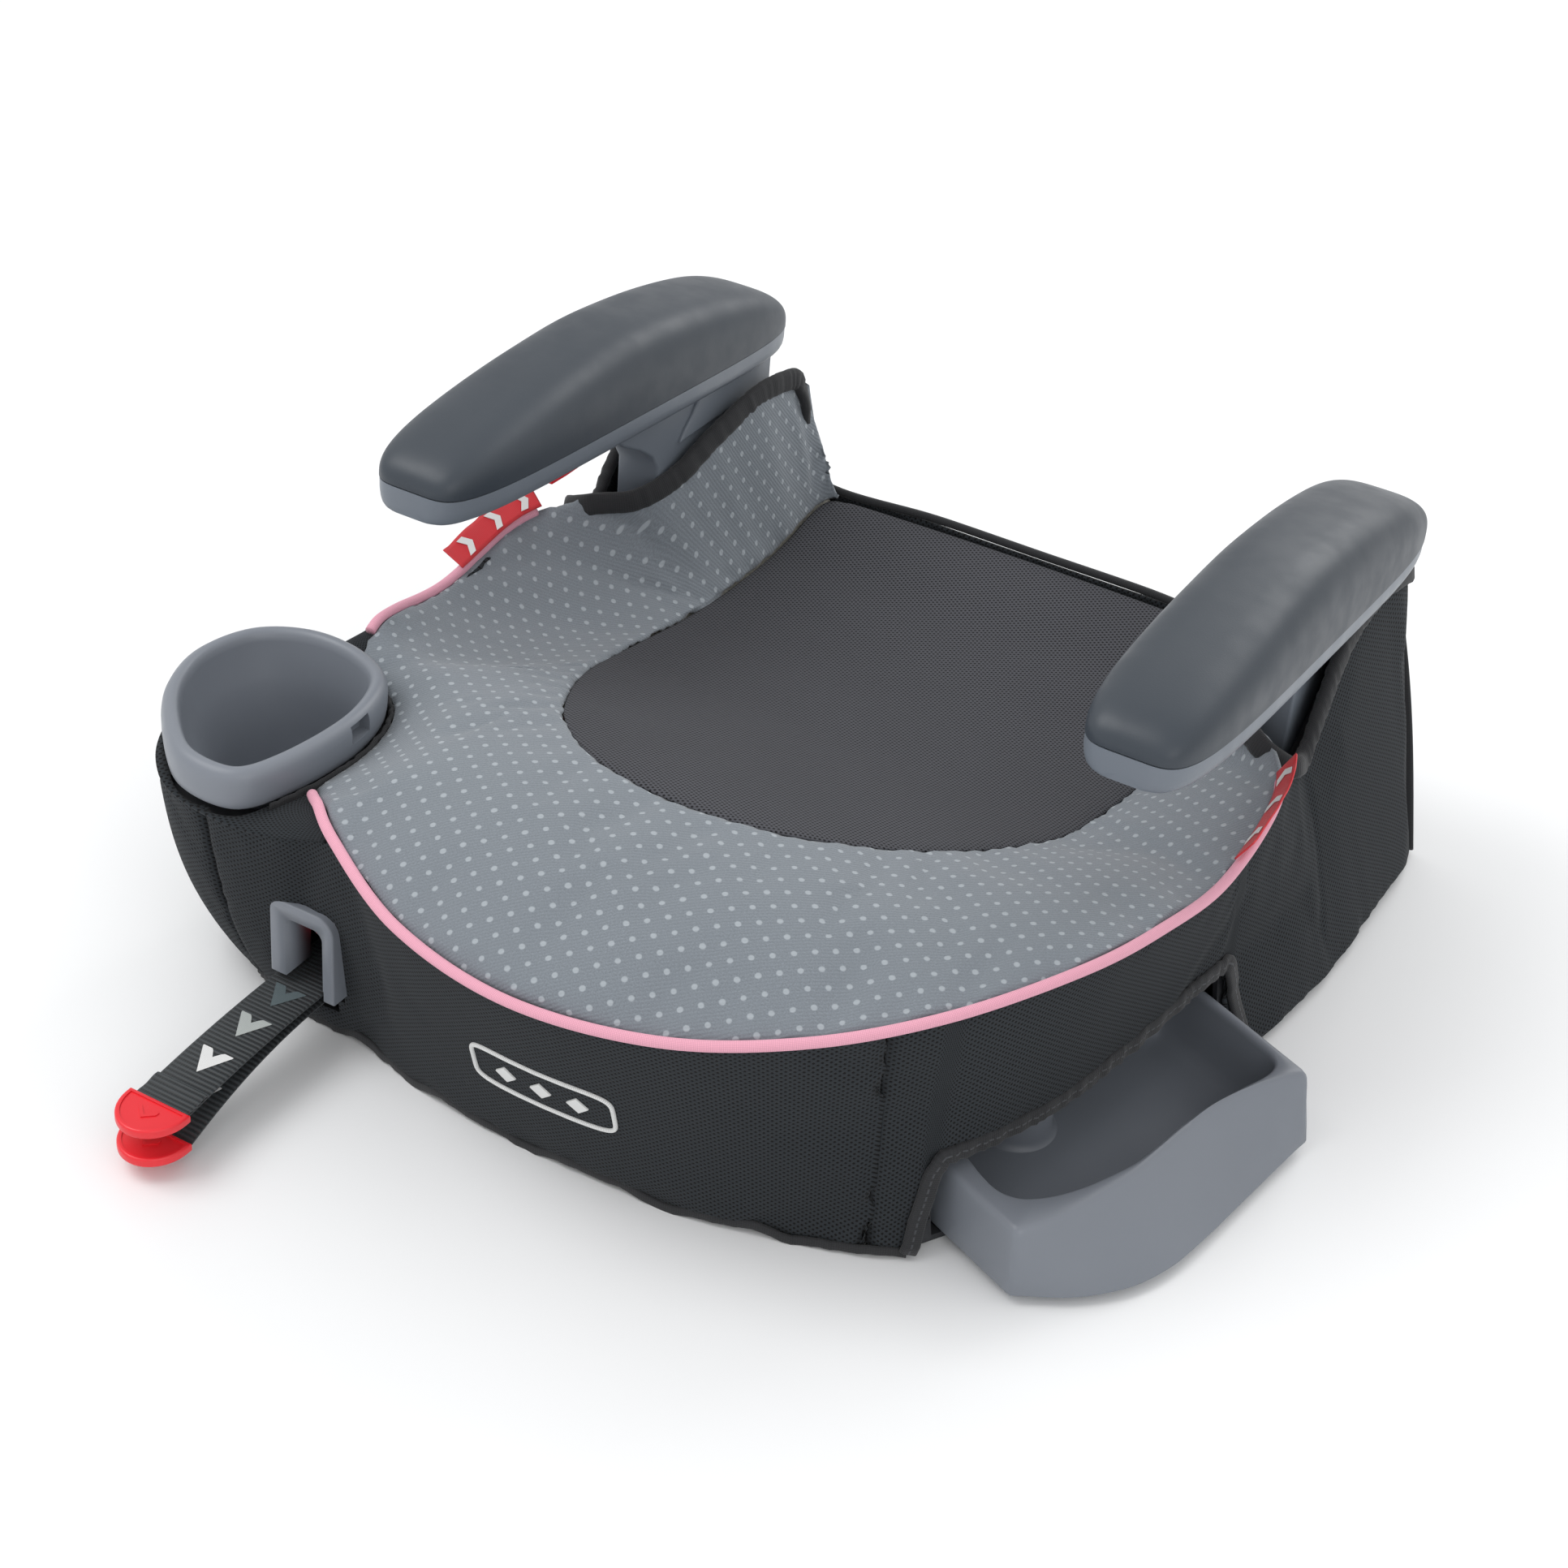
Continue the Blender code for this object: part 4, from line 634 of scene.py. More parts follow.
def tidy(mesh):
    """Join points that coincide, drop loose ones and turn all faces outwards."""
    work = bmesh.new()
    work.from_mesh(mesh)
    bmesh.ops.remove_doubles(work, verts=work.verts, dist=0.00001)
    loose = [vert for vert in work.verts if not vert.link_faces]
    bmesh.ops.delete(work, geom=loose, context="VERTS")
    bmesh.ops.recalc_face_normals(work, faces=work.faces)
    work.to_mesh(mesh)
    work.free()


def sweep(name, path, side, up, profile, look, sharp=None):
    """A closed profile of (side, up) offsets carried along a path, with closed ends."""
    path, side, up = (np.asarray(x, float) for x in (path, side, up))
    profile = np.array(profile + [profile[0]], float)
    offsets = side[:, None, :] * profile[None, :, :1] + up[:, None, :] * profile[None, :, 1:]
    rings = path[:, None, :] + offsets
    middle = rings[:, :-1].mean(axis=1, keepdims=True)
    rings = np.concatenate([np.broadcast_to(middle[:1], rings[:1].shape), rings,
                            np.broadcast_to(middle[-1:], rings[:1].shape)])
    along = steps(path)
    along = np.concatenate([along[:1], along, along[-1:]])
    across = steps(np.column_stack([profile, np.zeros(len(profile))]))
    cloth = grid_of(along[:, None], across[None, :])
    return sheet_piece(name, rings, cloth, look, weld=True, sharp=sharp)


def round_profile(radius):
    """A circle of 12 sides."""
    return [(radius * math.cos(a), radius * math.sin(a)) for a in np.arange(12) * 2 * math.pi / 12]


def band_profile(width, thick, start=0.0):
    """A flat band with rounded edges: side runs across its thickness, up across its width."""
    half = thick / 2
    out = []
    for a in np.linspace(-math.pi / 2, math.pi / 2, 5):
        out.append((half * math.sin(a), start + width - half + half * math.cos(a)))
    for a in np.linspace(math.pi / 2, 3 * math.pi / 2, 5):
        out.append((half * math.sin(a), start + half + half * math.cos(a)))
    return out


def cord_piece(name, path, radius, look):
    """A round sewn cord along a path."""
    path = np.asarray(path, float)
    ahead = unit(np.gradient(path, axis=0))
    side = unit(np.cross(ahead, np.array([0.0, 0.0, 1.0]) + ahead * 0.01))
    return sweep(name, path, side, np.cross(side, ahead), round_profile(radius), look)


def lofted(name, rings, look, sharp=35):
    """A closed body through closed rings, with both ends filled."""
    rings = np.asarray(rings, float)
    rings = np.concatenate([rings, rings[:, :1]], axis=1)
    low = np.broadcast_to(rings[0, :-1].mean(axis=0), rings[:1].shape)
    high = np.broadcast_to(rings[-1, :-1].mean(axis=0), rings[:1].shape)
    rings = np.concatenate([low, rings, high])
    cloth = np.zeros(rings.shape[:2] + (2,))
    return sheet_piece(name, rings, cloth, look, weld=True, sharp=sharp)


def slab(name, outline, half, axes, origin, look, bevel=0.0):
    """A flat outline extruded both ways and set on three axes, with rounded edges."""
    curve = bpy.data.curves.new(name, "CURVE")
    curve.dimensions = "2D"
    curve.fill_mode = "BOTH"
    curve.extrude = half - bevel
    curve.bevel_depth = bevel
    curve.bevel_resolution = 3
    curve.offset = -bevel
    part = curve.splines.new("POLY")
    part.points.add(len(outline) - 1)
    for point, (x, y) in zip(part.points, outline):
        point.co = (x, y, 0.0, 1.0)
    part.use_cyclic_u = True
    holder = bpy.data.objects.new(name, curve)
    bpy.context.scene.collection.objects.link(holder)
    seen = holder.evaluated_get(bpy.context.evaluated_depsgraph_get())
    mesh = bpy.data.meshes.new_from_object(seen)
    bpy.data.objects.remove(holder, do_unlink=True)
    turn = Matrix([list(row) for row in np.array(axes, float).T]).to_4x4()
    mesh.transform(Matrix.Translation(Vector(origin)) @ turn)
    tidy(mesh)
    mesh.shade_smooth()
    mesh.set_sharp_from_angle(angle=math.radians(35))
    mesh.name = name
    return link(name, mesh, look)


def cut_away(obj, tool):
    """Take a tool's shape out of a piece for good, then delete the tool."""
    step = obj.modifiers.new("cut", "BOOLEAN")
    step.object = tool
    step.solver = "EXACT"
    graph = bpy.context.evaluated_depsgraph_get()
    seen = obj.evaluated_get(graph)
    mesh = bpy.data.meshes.new_from_object(seen, preserve_all_data_layers=True, depsgraph=graph)
    obj.modifiers.clear()
    obj.data = mesh
    bpy.data.objects.remove(tool, do_unlink=True)


def block(low, high):
    work = bmesh.new()
    bmesh.ops.create_cube(work, size=1.0)
    for vert in work.verts:
        vert.co = [c * (h - l) + (h + l) / 2 for c, l, h in zip(vert.co, low, high)]
    mesh = bpy.data.meshes.new("block")
    work.to_mesh(mesh)
    work.free()
    return link("block", mesh, RESIN)


def belongs(obj, body, finish, *nodes):
    """Put a piece on its body and hide the CAD nodes it stands for. Its finish is not used."""
    if nodes:
        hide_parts(*nodes)
    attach(obj, body)
    return obj


def puffed(sheet, pressure, cap, looseness):
    """The sheet after a short cloth run with its border held. No point moves further than cap, in metres."""
    rows, columns = sheet.shape[:2]
    obj = sheet_piece("cloth_run", sheet, np.zeros((rows, columns, 2)), DOTTED)
    held = obj.vertex_groups.new(name="held")
    numbers = np.arange(rows * columns).reshape(rows, columns)
    border = np.concatenate([numbers[0], numbers[-1], numbers[:, 0], numbers[:, -1]])
    held.add(sorted(set(border.tolist())), 1.0, "REPLACE")
    step = obj.modifiers.new("cloth", "CLOTH")
    settings = step.settings
    settings.quality = 5
    settings.mass = 0.15
    settings.tension_stiffness = 20.0
    settings.compression_stiffness = 20.0
    settings.bending_stiffness = 0.4
    settings.vertex_group_mass = "held"
    settings.use_pressure = True
    settings.uniform_pressure_force = pressure
    settings.shrink_min = -looseness
    settings.effector_weights.gravity = 0.0
    scene = bpy.context.scene
    for number in range(1, 21):
        scene.frame_set(number)
    seen = obj.evaluated_get(bpy.context.evaluated_depsgraph_get())
    places = np.array([vert.co for vert in seen.data.vertices]).reshape(rows, columns, 3)
    scene.frame_set(1)
    bpy.data.objects.remove(obj, do_unlink=True)
    shift = places - sheet
    length = np.linalg.norm(shift, axis=2, keepdims=True)
    limit = np.broadcast_to(cap, sheet.shape[:2])[:, :, None]
    return sheet + shift * np.minimum(1.0, limit / np.maximum(length, 1e-9))


def sunk_edges(sheet, depth, width, sides="lrtb"):
    """The sheet with its edges turned in by depth over width, as sewn seams do."""
    rows = steps(sheet[:, sheet.shape[1] // 2])
    columns = steps(sheet[sheet.shape[0] // 2])
    turn = np.zeros(sheet.shape[:2])
    for side, far in (("b", rows[:, None]), ("t", (rows[-1] - rows)[:, None]),
                      ("l", columns[None, :]), ("r", (columns[-1] - columns)[None, :])):
        if side in sides:
            turn = np.maximum(turn, np.clip(1.0 - far / width, 0.0, 1.0) ** 2)
    return sheet - normals_of(sheet) * (turn * depth)[:, :, None]


def seam_spacing(count, width):
    """Numbers from 0 to 1 that crowd near both ends."""
    inner = np.linspace(0.0, 1.0, count)
    ends = np.linspace(0.0, width, 5)[:-1]
    inner = inner[(inner > width) & (inner < 1 - width)]
    return np.unique(np.round(np.concatenate([ends, inner, 1 - ends]), 6))


# ---- seat top ----------------------------------------------------------------------------------
def seat_top():
    """Padded dotted panel from the piping to the mesh insert."""
    where = run(-TOP_END - LEFT_EXTRA, TOP_END, 8)
    rows = seam_spacing(26, 0.05)[::-1]
    sheet = pad_sheet(where, rows)
    inner, outer = sheet[-1], sheet[0]
    away = unit(outer[:, :2] - inner[:, :2])
    far = np.cumsum(np.linalg.norm(np.diff(sheet[::-1], axis=0), axis=2), axis=0)
    far = np.concatenate([np.zeros((1, len(where))), far])[::-1]
    cloth = inner[None, :, :2] + away[None] * far[:, :, None]
    cap = np.interp(np.abs(where - FRONT), (7.5, 9.5), (0.0030, 0.0009))
    near_cup = np.linalg.norm(sheet[:, :, :2] - CUP_CENTRE, axis=2)
    cap = np.minimum(cap[None, :], np.interp(near_cup, (0.055, 0.080), (0.0004, 0.0030)))
    sheet = puffed(sheet, 1.6, cap, 0.012)
    sheet = sunk_edges(sheet, 0.0016, 0.005, "tb")
    across = np.linspace(0, 1, len(rows))[:, None]
    gather = smooth_noise(4, len(where), 2)[None, :] * np.exp(-((1 - across) / 0.12) ** 2)
    rear = np.clip((np.abs(where - FRONT) - 9.0) / 3.0, 0.0, 1.0)[None, :]
    crease = smooth_noise(9, len(where), 3)[None, :] * np.sin(math.pi * across) * rear
    sheet = sheet + normals_of(sheet) * (gather * 0.0006 + crease * 0.0013)[:, :, None]
    outline = cup_outline(0.0030, 72)
    top = sheet_piece("seat_top_cover", sheet, cloth, DOTTED, COVER)
    cut_away(top, lofted("collar_room", [ring_at(outline, 0.100), ring_at(outline, 0.180)], RESIN))
    belongs(top, "seat", "dotted_knit", "cover_top")


def seat_insert():
    """Mesh panel in the middle of the seat."""
    where = run(0, RIGHT_END, 5)
    half = seam_spacing(36, 0.03)[1:]
    rows = np.concatenate([-half[::-1], [0.0], half])
    edge = spline(STATION_INSERT, where)
    edge[0, 0] = edge[-1, 0] = 0.0
    middle = np.clip(edge[:, 1], -0.09, 0.16)
    sheet = []
    for t in rows:
        y = middle * (1 - abs(t)) + edge[:, 1] * abs(t)
        sheet.append(np.column_stack([edge[:, 0] * t, y, ridge(y)]))
    sheet = np.array(sheet)
    rounding = np.clip((np.abs(rows) - 0.94) / 0.06, 0.0, 1.0) ** 2
    sheet[:, :, 2] += 0.0012 * (1 - rows ** 2)[:, None] - 0.0010 * rounding[:, None]
    middle = np.linspace(-0.15, 0.22, 200)
    along = np.interp(sheet[:, :, 1], middle, steps(np.column_stack([middle, ridge(middle)])))
    cloth = np.stack([sheet[:, :, 0], along], axis=2)
    panel = sheet_piece("seat_insert_mesh", sheet[::-1], cloth[::-1], SEAT_MESH, weld=True)
    face_up(panel.data)
    thicken(panel, COVER)
    belongs(panel, "seat", "mesh", "cover_insert")


def face_up(mesh):
    """Turn the mesh over if most of it faces down."""
    if sum(face.normal.z * face.area for face in mesh.polygons) < 0:
        mesh.flip_normals()


# ---- skirt -------------------------------------------------------------------------------------
OPENING_AT = [2.0, 3.02, 3.16, 4.5, 6.38, 6.52, 7.5]
OPENING_HIGH = [0.0, 0.0, 0.0465, 0.0490, 0.0530, 0.0, 0.0]
OPENING_SIDES = [3.09, 6.45]
opening = eased(OPENING_AT, OPENING_HIGH, 0.035)


def hem_of(where):
    """Lower edge of the skirt: a wavy elastic hem, raised over the drawer."""
    station = where - FRONT
    free = np.clip((3.2 - station) / 1.5, 0.0, 1.0)
    wave = 0.0024 + free * (0.0016 * np.sin(station * 5.3) + 0.0008 * np.sin(station * 11.7 + 1.0))
    return np.maximum(wave, opening(station))


def skirt_panel(name, where, node, windows=()):
    """One mesh panel of the skirt with turned seams."""
    top = outer_top(where) - 0.0030
    low = hem_of(where)
    sheet = skirt_point_rows(where, [low + (top - low) * s for s in seam_spacing(22, 0.04)])
    cloth = grid_of(steps(sheet[10])[None, :], sheet[:, :, 2])
    sheet = puffed(sheet, 1.2, 0.0018, 0.006)
    sheet = sunk_edges(sheet, 0.0022, 0.0045, "lrb")
    ripple = smooth_noise(len(name), len(where), 4)[None, :]
    ripple = ripple * np.linspace(1, 0, len(sheet))[:, None] ** 3
    sheet = sheet + normals_of(sheet) * (ripple * 0.0006)[:, :, None]
    panel = sheet_piece(name, sheet, cloth, SKIRT_MESH, COVER)
    for low_corner, high_corner in windows:
        cut_away(panel, block(low_corner, high_corner))
    belongs(panel, "seat", "mesh", node)


def face_area(piece):
    """Area of one side of a thin piece of cloth."""
    seen = piece.evaluated_get(bpy.context.evaluated_depsgraph_get())
    return sum(face.area for face in seen.data.polygons) / 2


def dense(first, last, spots, per_station=9):
    """Station numbers that crowd round the given spots."""
    extra = [spot + np.linspace(-0.14, 0.14, 15) for spot in spots]
    numbers = np.concatenate([np.arange(first, last, 1.0 / per_station), [last], *extra])
    numbers = np.unique(np.round(numbers[(numbers >= first) & (numbers <= last)], 5))
    keep = np.concatenate([[True], np.diff(numbers) > 0.012])
    keep[-1] = True
    return numbers[keep] + FRONT


def skirt():
    slot_window = ((-0.1455, -0.2600, 0.0235), (-0.1152, -0.1700, 0.0700))
    tail_window = ((-0.1482, -0.2600, 0.0160), (-0.1190, -0.1700, 0.0345))
    skirt_panel("skirt_front", dense(-LEFT_SEAM, RIGHT_SEAM, []), "cover_front",
                windows=[slot_window, tail_window])
    skirt_panel("skirt_right", dense(RIGHT_SEAM, REAR_SEAM, OPENING_SIDES), "cover_right")
    skirt_panel("skirt_left", dense(LEFT_REAR_SEAM, -LEFT_SEAM, []), "cover_left")
    windows = [((x - 0.020, 0.190, 0.018), (x + 0.020, 0.240, 0.046)) for x in (-0.100, 0.100)]
    skirt_panel("skirt_rear", rear_run(10), "cover_rear", windows=windows)


def cup_shelf():
    """Mesh between the skirt and the dotted panel, under the cup holder's collar."""
    where = run(-11.2, -2.2, 10)
    outer = spline(STATION_OUTER, where)
    inner = inner_edge(where)
    outer[:, 2] -= 0.0030
    inner[:, 2] -= 0.0022
    rows = np.linspace(0, 1, 14)
    sheet = np.array([outer * (1 - t) + inner * t for t in rows])
    sheet[:, :, 2] += 0.0015 * np.sin(math.pi * rows)[:, None]
    cloth = grid_of(steps(sheet[7])[None, :], 0.11 + rows[:, None] * 0.05)
    shelf = sheet_piece("cup_shelf_mesh", sheet, cloth, SKIRT_MESH, 0.0012)
    outline = cup_outline(-0.0012, 72)
    cut_away(shelf, lofted("well_room", [ring_at(outline, 0.080), ring_at(outline, 0.180)], RESIN))
    belongs(shelf, "seat", "mesh")
    area = face_area(shelf)


def hem_elastic():
    """Black elastic under the front hem."""
    where = run(-9.0, 2.95, 12)
    heights = hem_of(where)
    path = skirt_point_rows(where, [heights])[0]
    path[:, 2] += 0.0004
    out = level_out(where)
    path = path + out * (0.0002 + 0.0006 * smooth_noise(3, len(where), 1)[:, None])
    up = upright(path)
    band = sweep("hem_elastic", path, out, up, band_profile(0.0046, 0.0016, -0.0016), PLAIN_TAPE)
    belongs(band, "seat", "black_tape")


# ---- piping, bindings and labels ---------------------------------------------------------------
def piping():
    for name, first, last in (("piping_front", -3.5, 7.3), ("piping_left", -13.3, -10.3)):
        where = run(first, last, 14)
        line = inner_edge(where)
        line[:, :2] += outward_of(where) * 0.0022
        line[:, 2] -= 0.0004
        cord = cord_piece("sewn_" + name, line, 0.0024, PINK)
        belongs(cord, "seat", "piping", name)


def blurred(points, reach):
    return convolved(np.pad(points, ((reach, reach), (0, 0)), mode="edge"), hann(reach))


def wing_binding(side):
    """Folded tape round the mouth of the armrest pocket and down the wing's rear edge."""
    where = run(8.0, 14.48, 14)
    outer = spline(STATION_OUTER, where)
    outer[:, 2] = outer_top(where)
    inner = pad_sheet(where, [1.0])[0]
    outer_in = unit(skirt_point_rows(where, [outer[:, 2] * 0.93])[0] - outer)
    inner_in = unit(pad_sheet(where, [0.90])[0] - inner)
    flat = unit(np.cross(np.gradient(inner, axis=0), inner_in))
    rear = pad_sheet(where[-1:], np.linspace(1.0, 0.78, 10)[1:])[:, 0]
    proud = np.concatenate([np.zeros(2 * len(where)), np.full(len(rear), 0.0022)])
    inner = np.vstack([inner, rear])
    flat = np.vstack([flat, np.repeat(flat[-20:-19], len(rear), axis=0)])
    turned = unit(np.cross(flat, np.gradient(inner, axis=0)))
    path = blurred(np.vstack([outer[::-1], inner]), 3)
    into = unit(blurred(np.vstack([outer_in[::-1], turned]), 4))
    path[:, 0] *= SIGN[side]
    into[:, 0] *= SIGN[side]
    ahead = unit(np.gradient(path, axis=0))
    out = unit(np.cross(ahead, into))
    ruffle = smooth_noise(12, len(path), 1)[:, None] * 0.0004
    proud = np.convolve(proud, np.full(25, 0.04), mode="same")[:, None]
    band = sweep(f"wing_tape_{side}", path - into * 0.0022 + out * (ruffle + proud + 0.0004), out, into,
                 band_profile(0.0112, 0.0056), TAPE)
    belongs(band, "seat", "black_tape", f"wing_binding_{side}")


def wing_end(side):
    """Mesh that closes the armrest pocket from behind."""
    inner = pad_sheet(np.array([FRONT + TOP_END]), np.linspace(0.0, 0.99, 24))[:, 0]
    corner = float(outer_top(np.array([FRONT + REAR_SEAM]))[0]) - 0.0010
    seam = np.array([FRONT + REAR_SEAM])
    outer = np.array([skirt_point_rows(seam, [min(z, corner)])[0, 0] for z in inner[:, 2]])
    outer[:, :2] -= [0.0030, 0.0030]
    sheet = np.array([inner * (1 - t) + outer * t for t in np.linspace(0, 1, 12)])
    sheet[:, :, 0] *= SIGN[side]
    cloth = np.stack([np.abs(sheet[:, :, 0]), sheet[:, :, 2]], axis=2)
    end = sheet_piece(f"wing_end_{side}", sheet, cloth, SKIRT_MESH, 0.0010)
    belongs(end, "seat", "mesh")
    area = face_area(end)


def corner_tape(side):
    """Bound edge down the rear corner."""
    station = np.array([REAR_SEAM if side == "right" else LEFT_REAR_SEAM]) + FRONT
    heights = np.linspace(float(outer_top(station)[0]), 0.002, 60)
    path = np.array([skirt_point_rows(station, [h])[0, 0] for h in heights])
    bulge = 0.0026 * np.sin(math.pi * np.linspace(0, 1, len(heights)) ** 0.8)
    outwards = np.tile([SIGN[side] * 0.958, 0.287, 0.0], (len(path), 1))
    backwards = np.tile([-SIGN[side] * 0.287, 0.958, 0.0], (len(path), 1))
    path += outwards * (bulge - 0.0050)[:, None] + [0.0, 0.0012, 0.0]
    profile = band_profile(0.0075, 0.0026)
    tape = sweep(f"corner_tape_{side}", path, backwards, outwards, profile, PLAIN_TAPE)
    belongs(tape, "seat", "black_tape")


def rear_tape():
    """Bound edge along the top of the rear panel."""
    where = rear_run(12)
    path = (spline(STATION_OUTER, where) + spline(STATION_INNER, where)) / 2
    path[:, 1] = np.minimum(path[:, 1], 0.2120)
    path[:, 2] = np.minimum(path[:, 2], outer_top(where)) + 0.0005
    tape = cord_piece("rear_top_tape", blurred(path, 3), 0.0021, PLAIN_TAPE)
    belongs(tape, "seat", "black_tape")


def gather_band(name, path, out, up, profile, finish, node):
    """Gathered elastic: a band whose face ripples along its length."""
    count = len(path)
    ripple = smooth_noise(21, count, 1)[:, None] * 0.0007
    lift = smooth_noise(22, count, 2)[:, None] * 0.0005
    band = sweep(name, path + out * ripple + up * lift, out, up, profile, finish)
    belongs(band, "seat", "black_tape", node)


def cup_elastic():
    outline = cup_outline(0.0014, 160)
    keep = [i for i, (x, y) in enumerate(outline) if x > -0.176 and y > -0.2150]
    start = next(i for i in keep if (i - 1) % len(outline) not in keep)
    order = [(start + i) % len(outline) for i in range(len(keep))]
    path = ring_at(outline[order], CUP_COLLAR - 0.0060)
    out = np.column_stack([unit(outline[order] - CUP_CENTRE), np.zeros(len(order))])
    up = upright(path)
    profile = band_profile(0.0078, 0.0022)
    gather_band("cup_collar_elastic", path, out, up, profile, PLAIN_TAPE, "cup_elastic")


def drawer_tape():
    """Folded, gathered tape round the opening that the drawer comes through."""
    where = dense(3.0, 6.56, OPENING_SIDES, 26)
    heights = np.maximum(opening(where - FRONT), 0.003)
    path = skirt_point_rows(where, [heights])[0]
    out = level_out(where)
    ahead = unit(np.gradient(path, axis=0))
    up = unit(np.cross(out, ahead))
    up *= np.sign(up[:, 2] + 1e-6)[:, None]
    up = unit(blurred(up, 2))
    path = path + out * 0.0008 - up * 0.0020
    profile = band_profile(0.0085, 0.0028)
    gather_band("drawer_opening_tape", path, out, up, profile, TAPE, "drawer_binding")


def chevron(width, deep, bar):
    """A plain V outline that points along +X, centred on the origin."""
    half = width / 2
    return [(-deep / 2, -half), (-deep / 2 + bar, -half), (deep / 2, 0.0), (-deep / 2 + bar, half),
            (-deep / 2, half), (deep / 2 - bar, 0.0)]


def belt_label(side):
    """Folded red tag in the seam with plain white chevrons."""
    where = run(6.2, 7.35, 40)
    inner = spline(STATION_INNER, where)
    inner[:, 2] += 0.0030
    out = unit(np.column_stack([outward_of(where), np.full(len(where), TAG_LEAN[side])]))
    flutter = smooth_noise(30, len(where), 5)[:, None] * np.array([0.0, 0.0, 0.0009])
    rows = np.linspace(0, 1, 7)
    sheet = np.array([inner + out * (TAG_WIDTH * t) + flutter * t for t in rows[::-1]])
    sheet[:, :, 0] *= SIGN[side]
    cloth = grid_of(steps(sheet[3])[None, :], rows[::-1, None] * TAG_WIDTH)
    label = sheet_piece(f"belt_tag_{side}", sheet, cloth, RED_TAPE, 0.0007)
    if side == "left":
        label.data.flip_normals()
    belongs(label, "seat", "red_tape", f"belt_label_{side}")
    for number, share in enumerate((0.18, 0.50, 0.82), 1):
        middle = round(share * (len(where) - 1))
        centre = sheet[3, middle]
        along = unit(sheet[3, middle + 2] - sheet[3, middle - 2])
        across = unit(sheet[0, middle] - sheet[-1, middle])
        up = np.cross(along, across)
        up *= np.sign(up[2])
        outline = chevron(0.0096, 0.0074, 0.0042)
        axes = [along, across, np.cross(along, across)]
        place = centre + up * 0.0004
        mark = slab(f"belt_tag_mark_{side}_{number}", outline, 0.00015, axes, place, WHITE_TAPE)
        belongs(mark, "seat", "red_tape")


def on_front(across, up):
    """The point of the front panel this far across and up from the patch's centre."""
    where = np.array([PATCH_STATION + across / PATCH_SCALE]) + FRONT
    return skirt_point_rows(where, [PATCH_HEIGHT + up])[0, 0]


def front_patch():
    """A plain sewn patch: a stitched border round three diamonds."""
    border = []
    for a in np.linspace(0, 2 * math.pi, 121)[:-1]:
        border.append((0.0335 * bowed(math.cos(a), 0.35), 0.0115 * bowed(math.sin(a), 0.35)))
    line = np.array([on_front(across, up) for across, up in border + border[:2]])
    line[:, 1] -= 0.0022
    ring = cord_piece("patch_border", line, 0.0010, THREAD)
    belongs(ring, "seat", "piping")
    outline = [(0.0050 * math.cos(a), 0.0050 * math.sin(a)) for a in np.arange(4) * math.pi / 2]
    for number, across in enumerate((-0.017, 0.0, 0.017), 1):
        middle = on_front(across, 0.0)
        ahead = unit(on_front(across + 0.05 * PATCH_SCALE, 0.0) - middle)
        up = unit(on_front(across, 0.005) - middle)
        out = np.cross(ahead, up)
        axes = [ahead, up, out]
        mark = slab(f"patch_diamond_{number}", outline, 0.0006, axes, middle + out * 0.0020, THREAD, 0.0003)
        belongs(mark, "seat", "piping")


# ---- cup holder --------------------------------------------------------------------------------
def cup_well(grow, share, sides):
    outline = cup_outline(grow, sides)
    circle = WELL_CENTRE + unit(outline - CUP_CENTRE) * (WELL_RADIUS + grow + 0.0085)
    return outline * (1 - share) + circle * share


def cup_holder():
    sides = 120
    ring = [(-0.030, 1.0, 0.0), (-0.010, 1.0, 0.0), (-0.0085, 0.93, 0.004), (-0.0085, 0.55, 0.0230),
            (-0.0085, 0.10, CUP_COLLAR - CUP_FLOOR)]
    rings = [ring_at(cup_well(g, s, sides), CUP_FLOOR + z) for g, s, z in ring]
    collar = [(-0.0030, -0.0002), (-0.0016, 0.0), (-0.0008, 0.0010), (-0.0003, 0.0040), (0.0, 0.0080),
              (0.0, 0.0125), (-0.0004, 0.0150), (-0.0014, 0.0170), (-0.0030, 0.0183), (-0.0048, 0.0188),
              (-0.0064, 0.0183), (-0.0076, 0.0168), (-0.0084, 0.0138), (-0.0090, 0.0080)]
    rings += [ring_at(cup_outline(g, sides), CUP_COLLAR + z) for g, z in collar]
    inside = [(-0.0112, 0.10, -0.001), (-0.0112, 0.35, -0.014), (-0.0112, 0.65, -0.028),
              (-0.0112, 0.90, -0.0417), (-0.0125, 0.95, -0.0447), (-0.0150, 0.97, -0.0466),
              (-0.0200, 1.0, -0.0471)]
    rings += [ring_at(cup_well(g, s, sides), CUP_COLLAR + z) for g, s, z in inside]
    cup = lofted("cup_moulding", rings, GREY, sharp=60)
    window = block((-0.1525, -0.1655, 0.1190), (-0.1400, -0.1520, 0.1275))
    cut_away(cup, window)
    cup.data.set_sharp_from_angle(angle=math.radians(50))
    belongs(cup, "seat", "grey_plastic", "cup_holder")


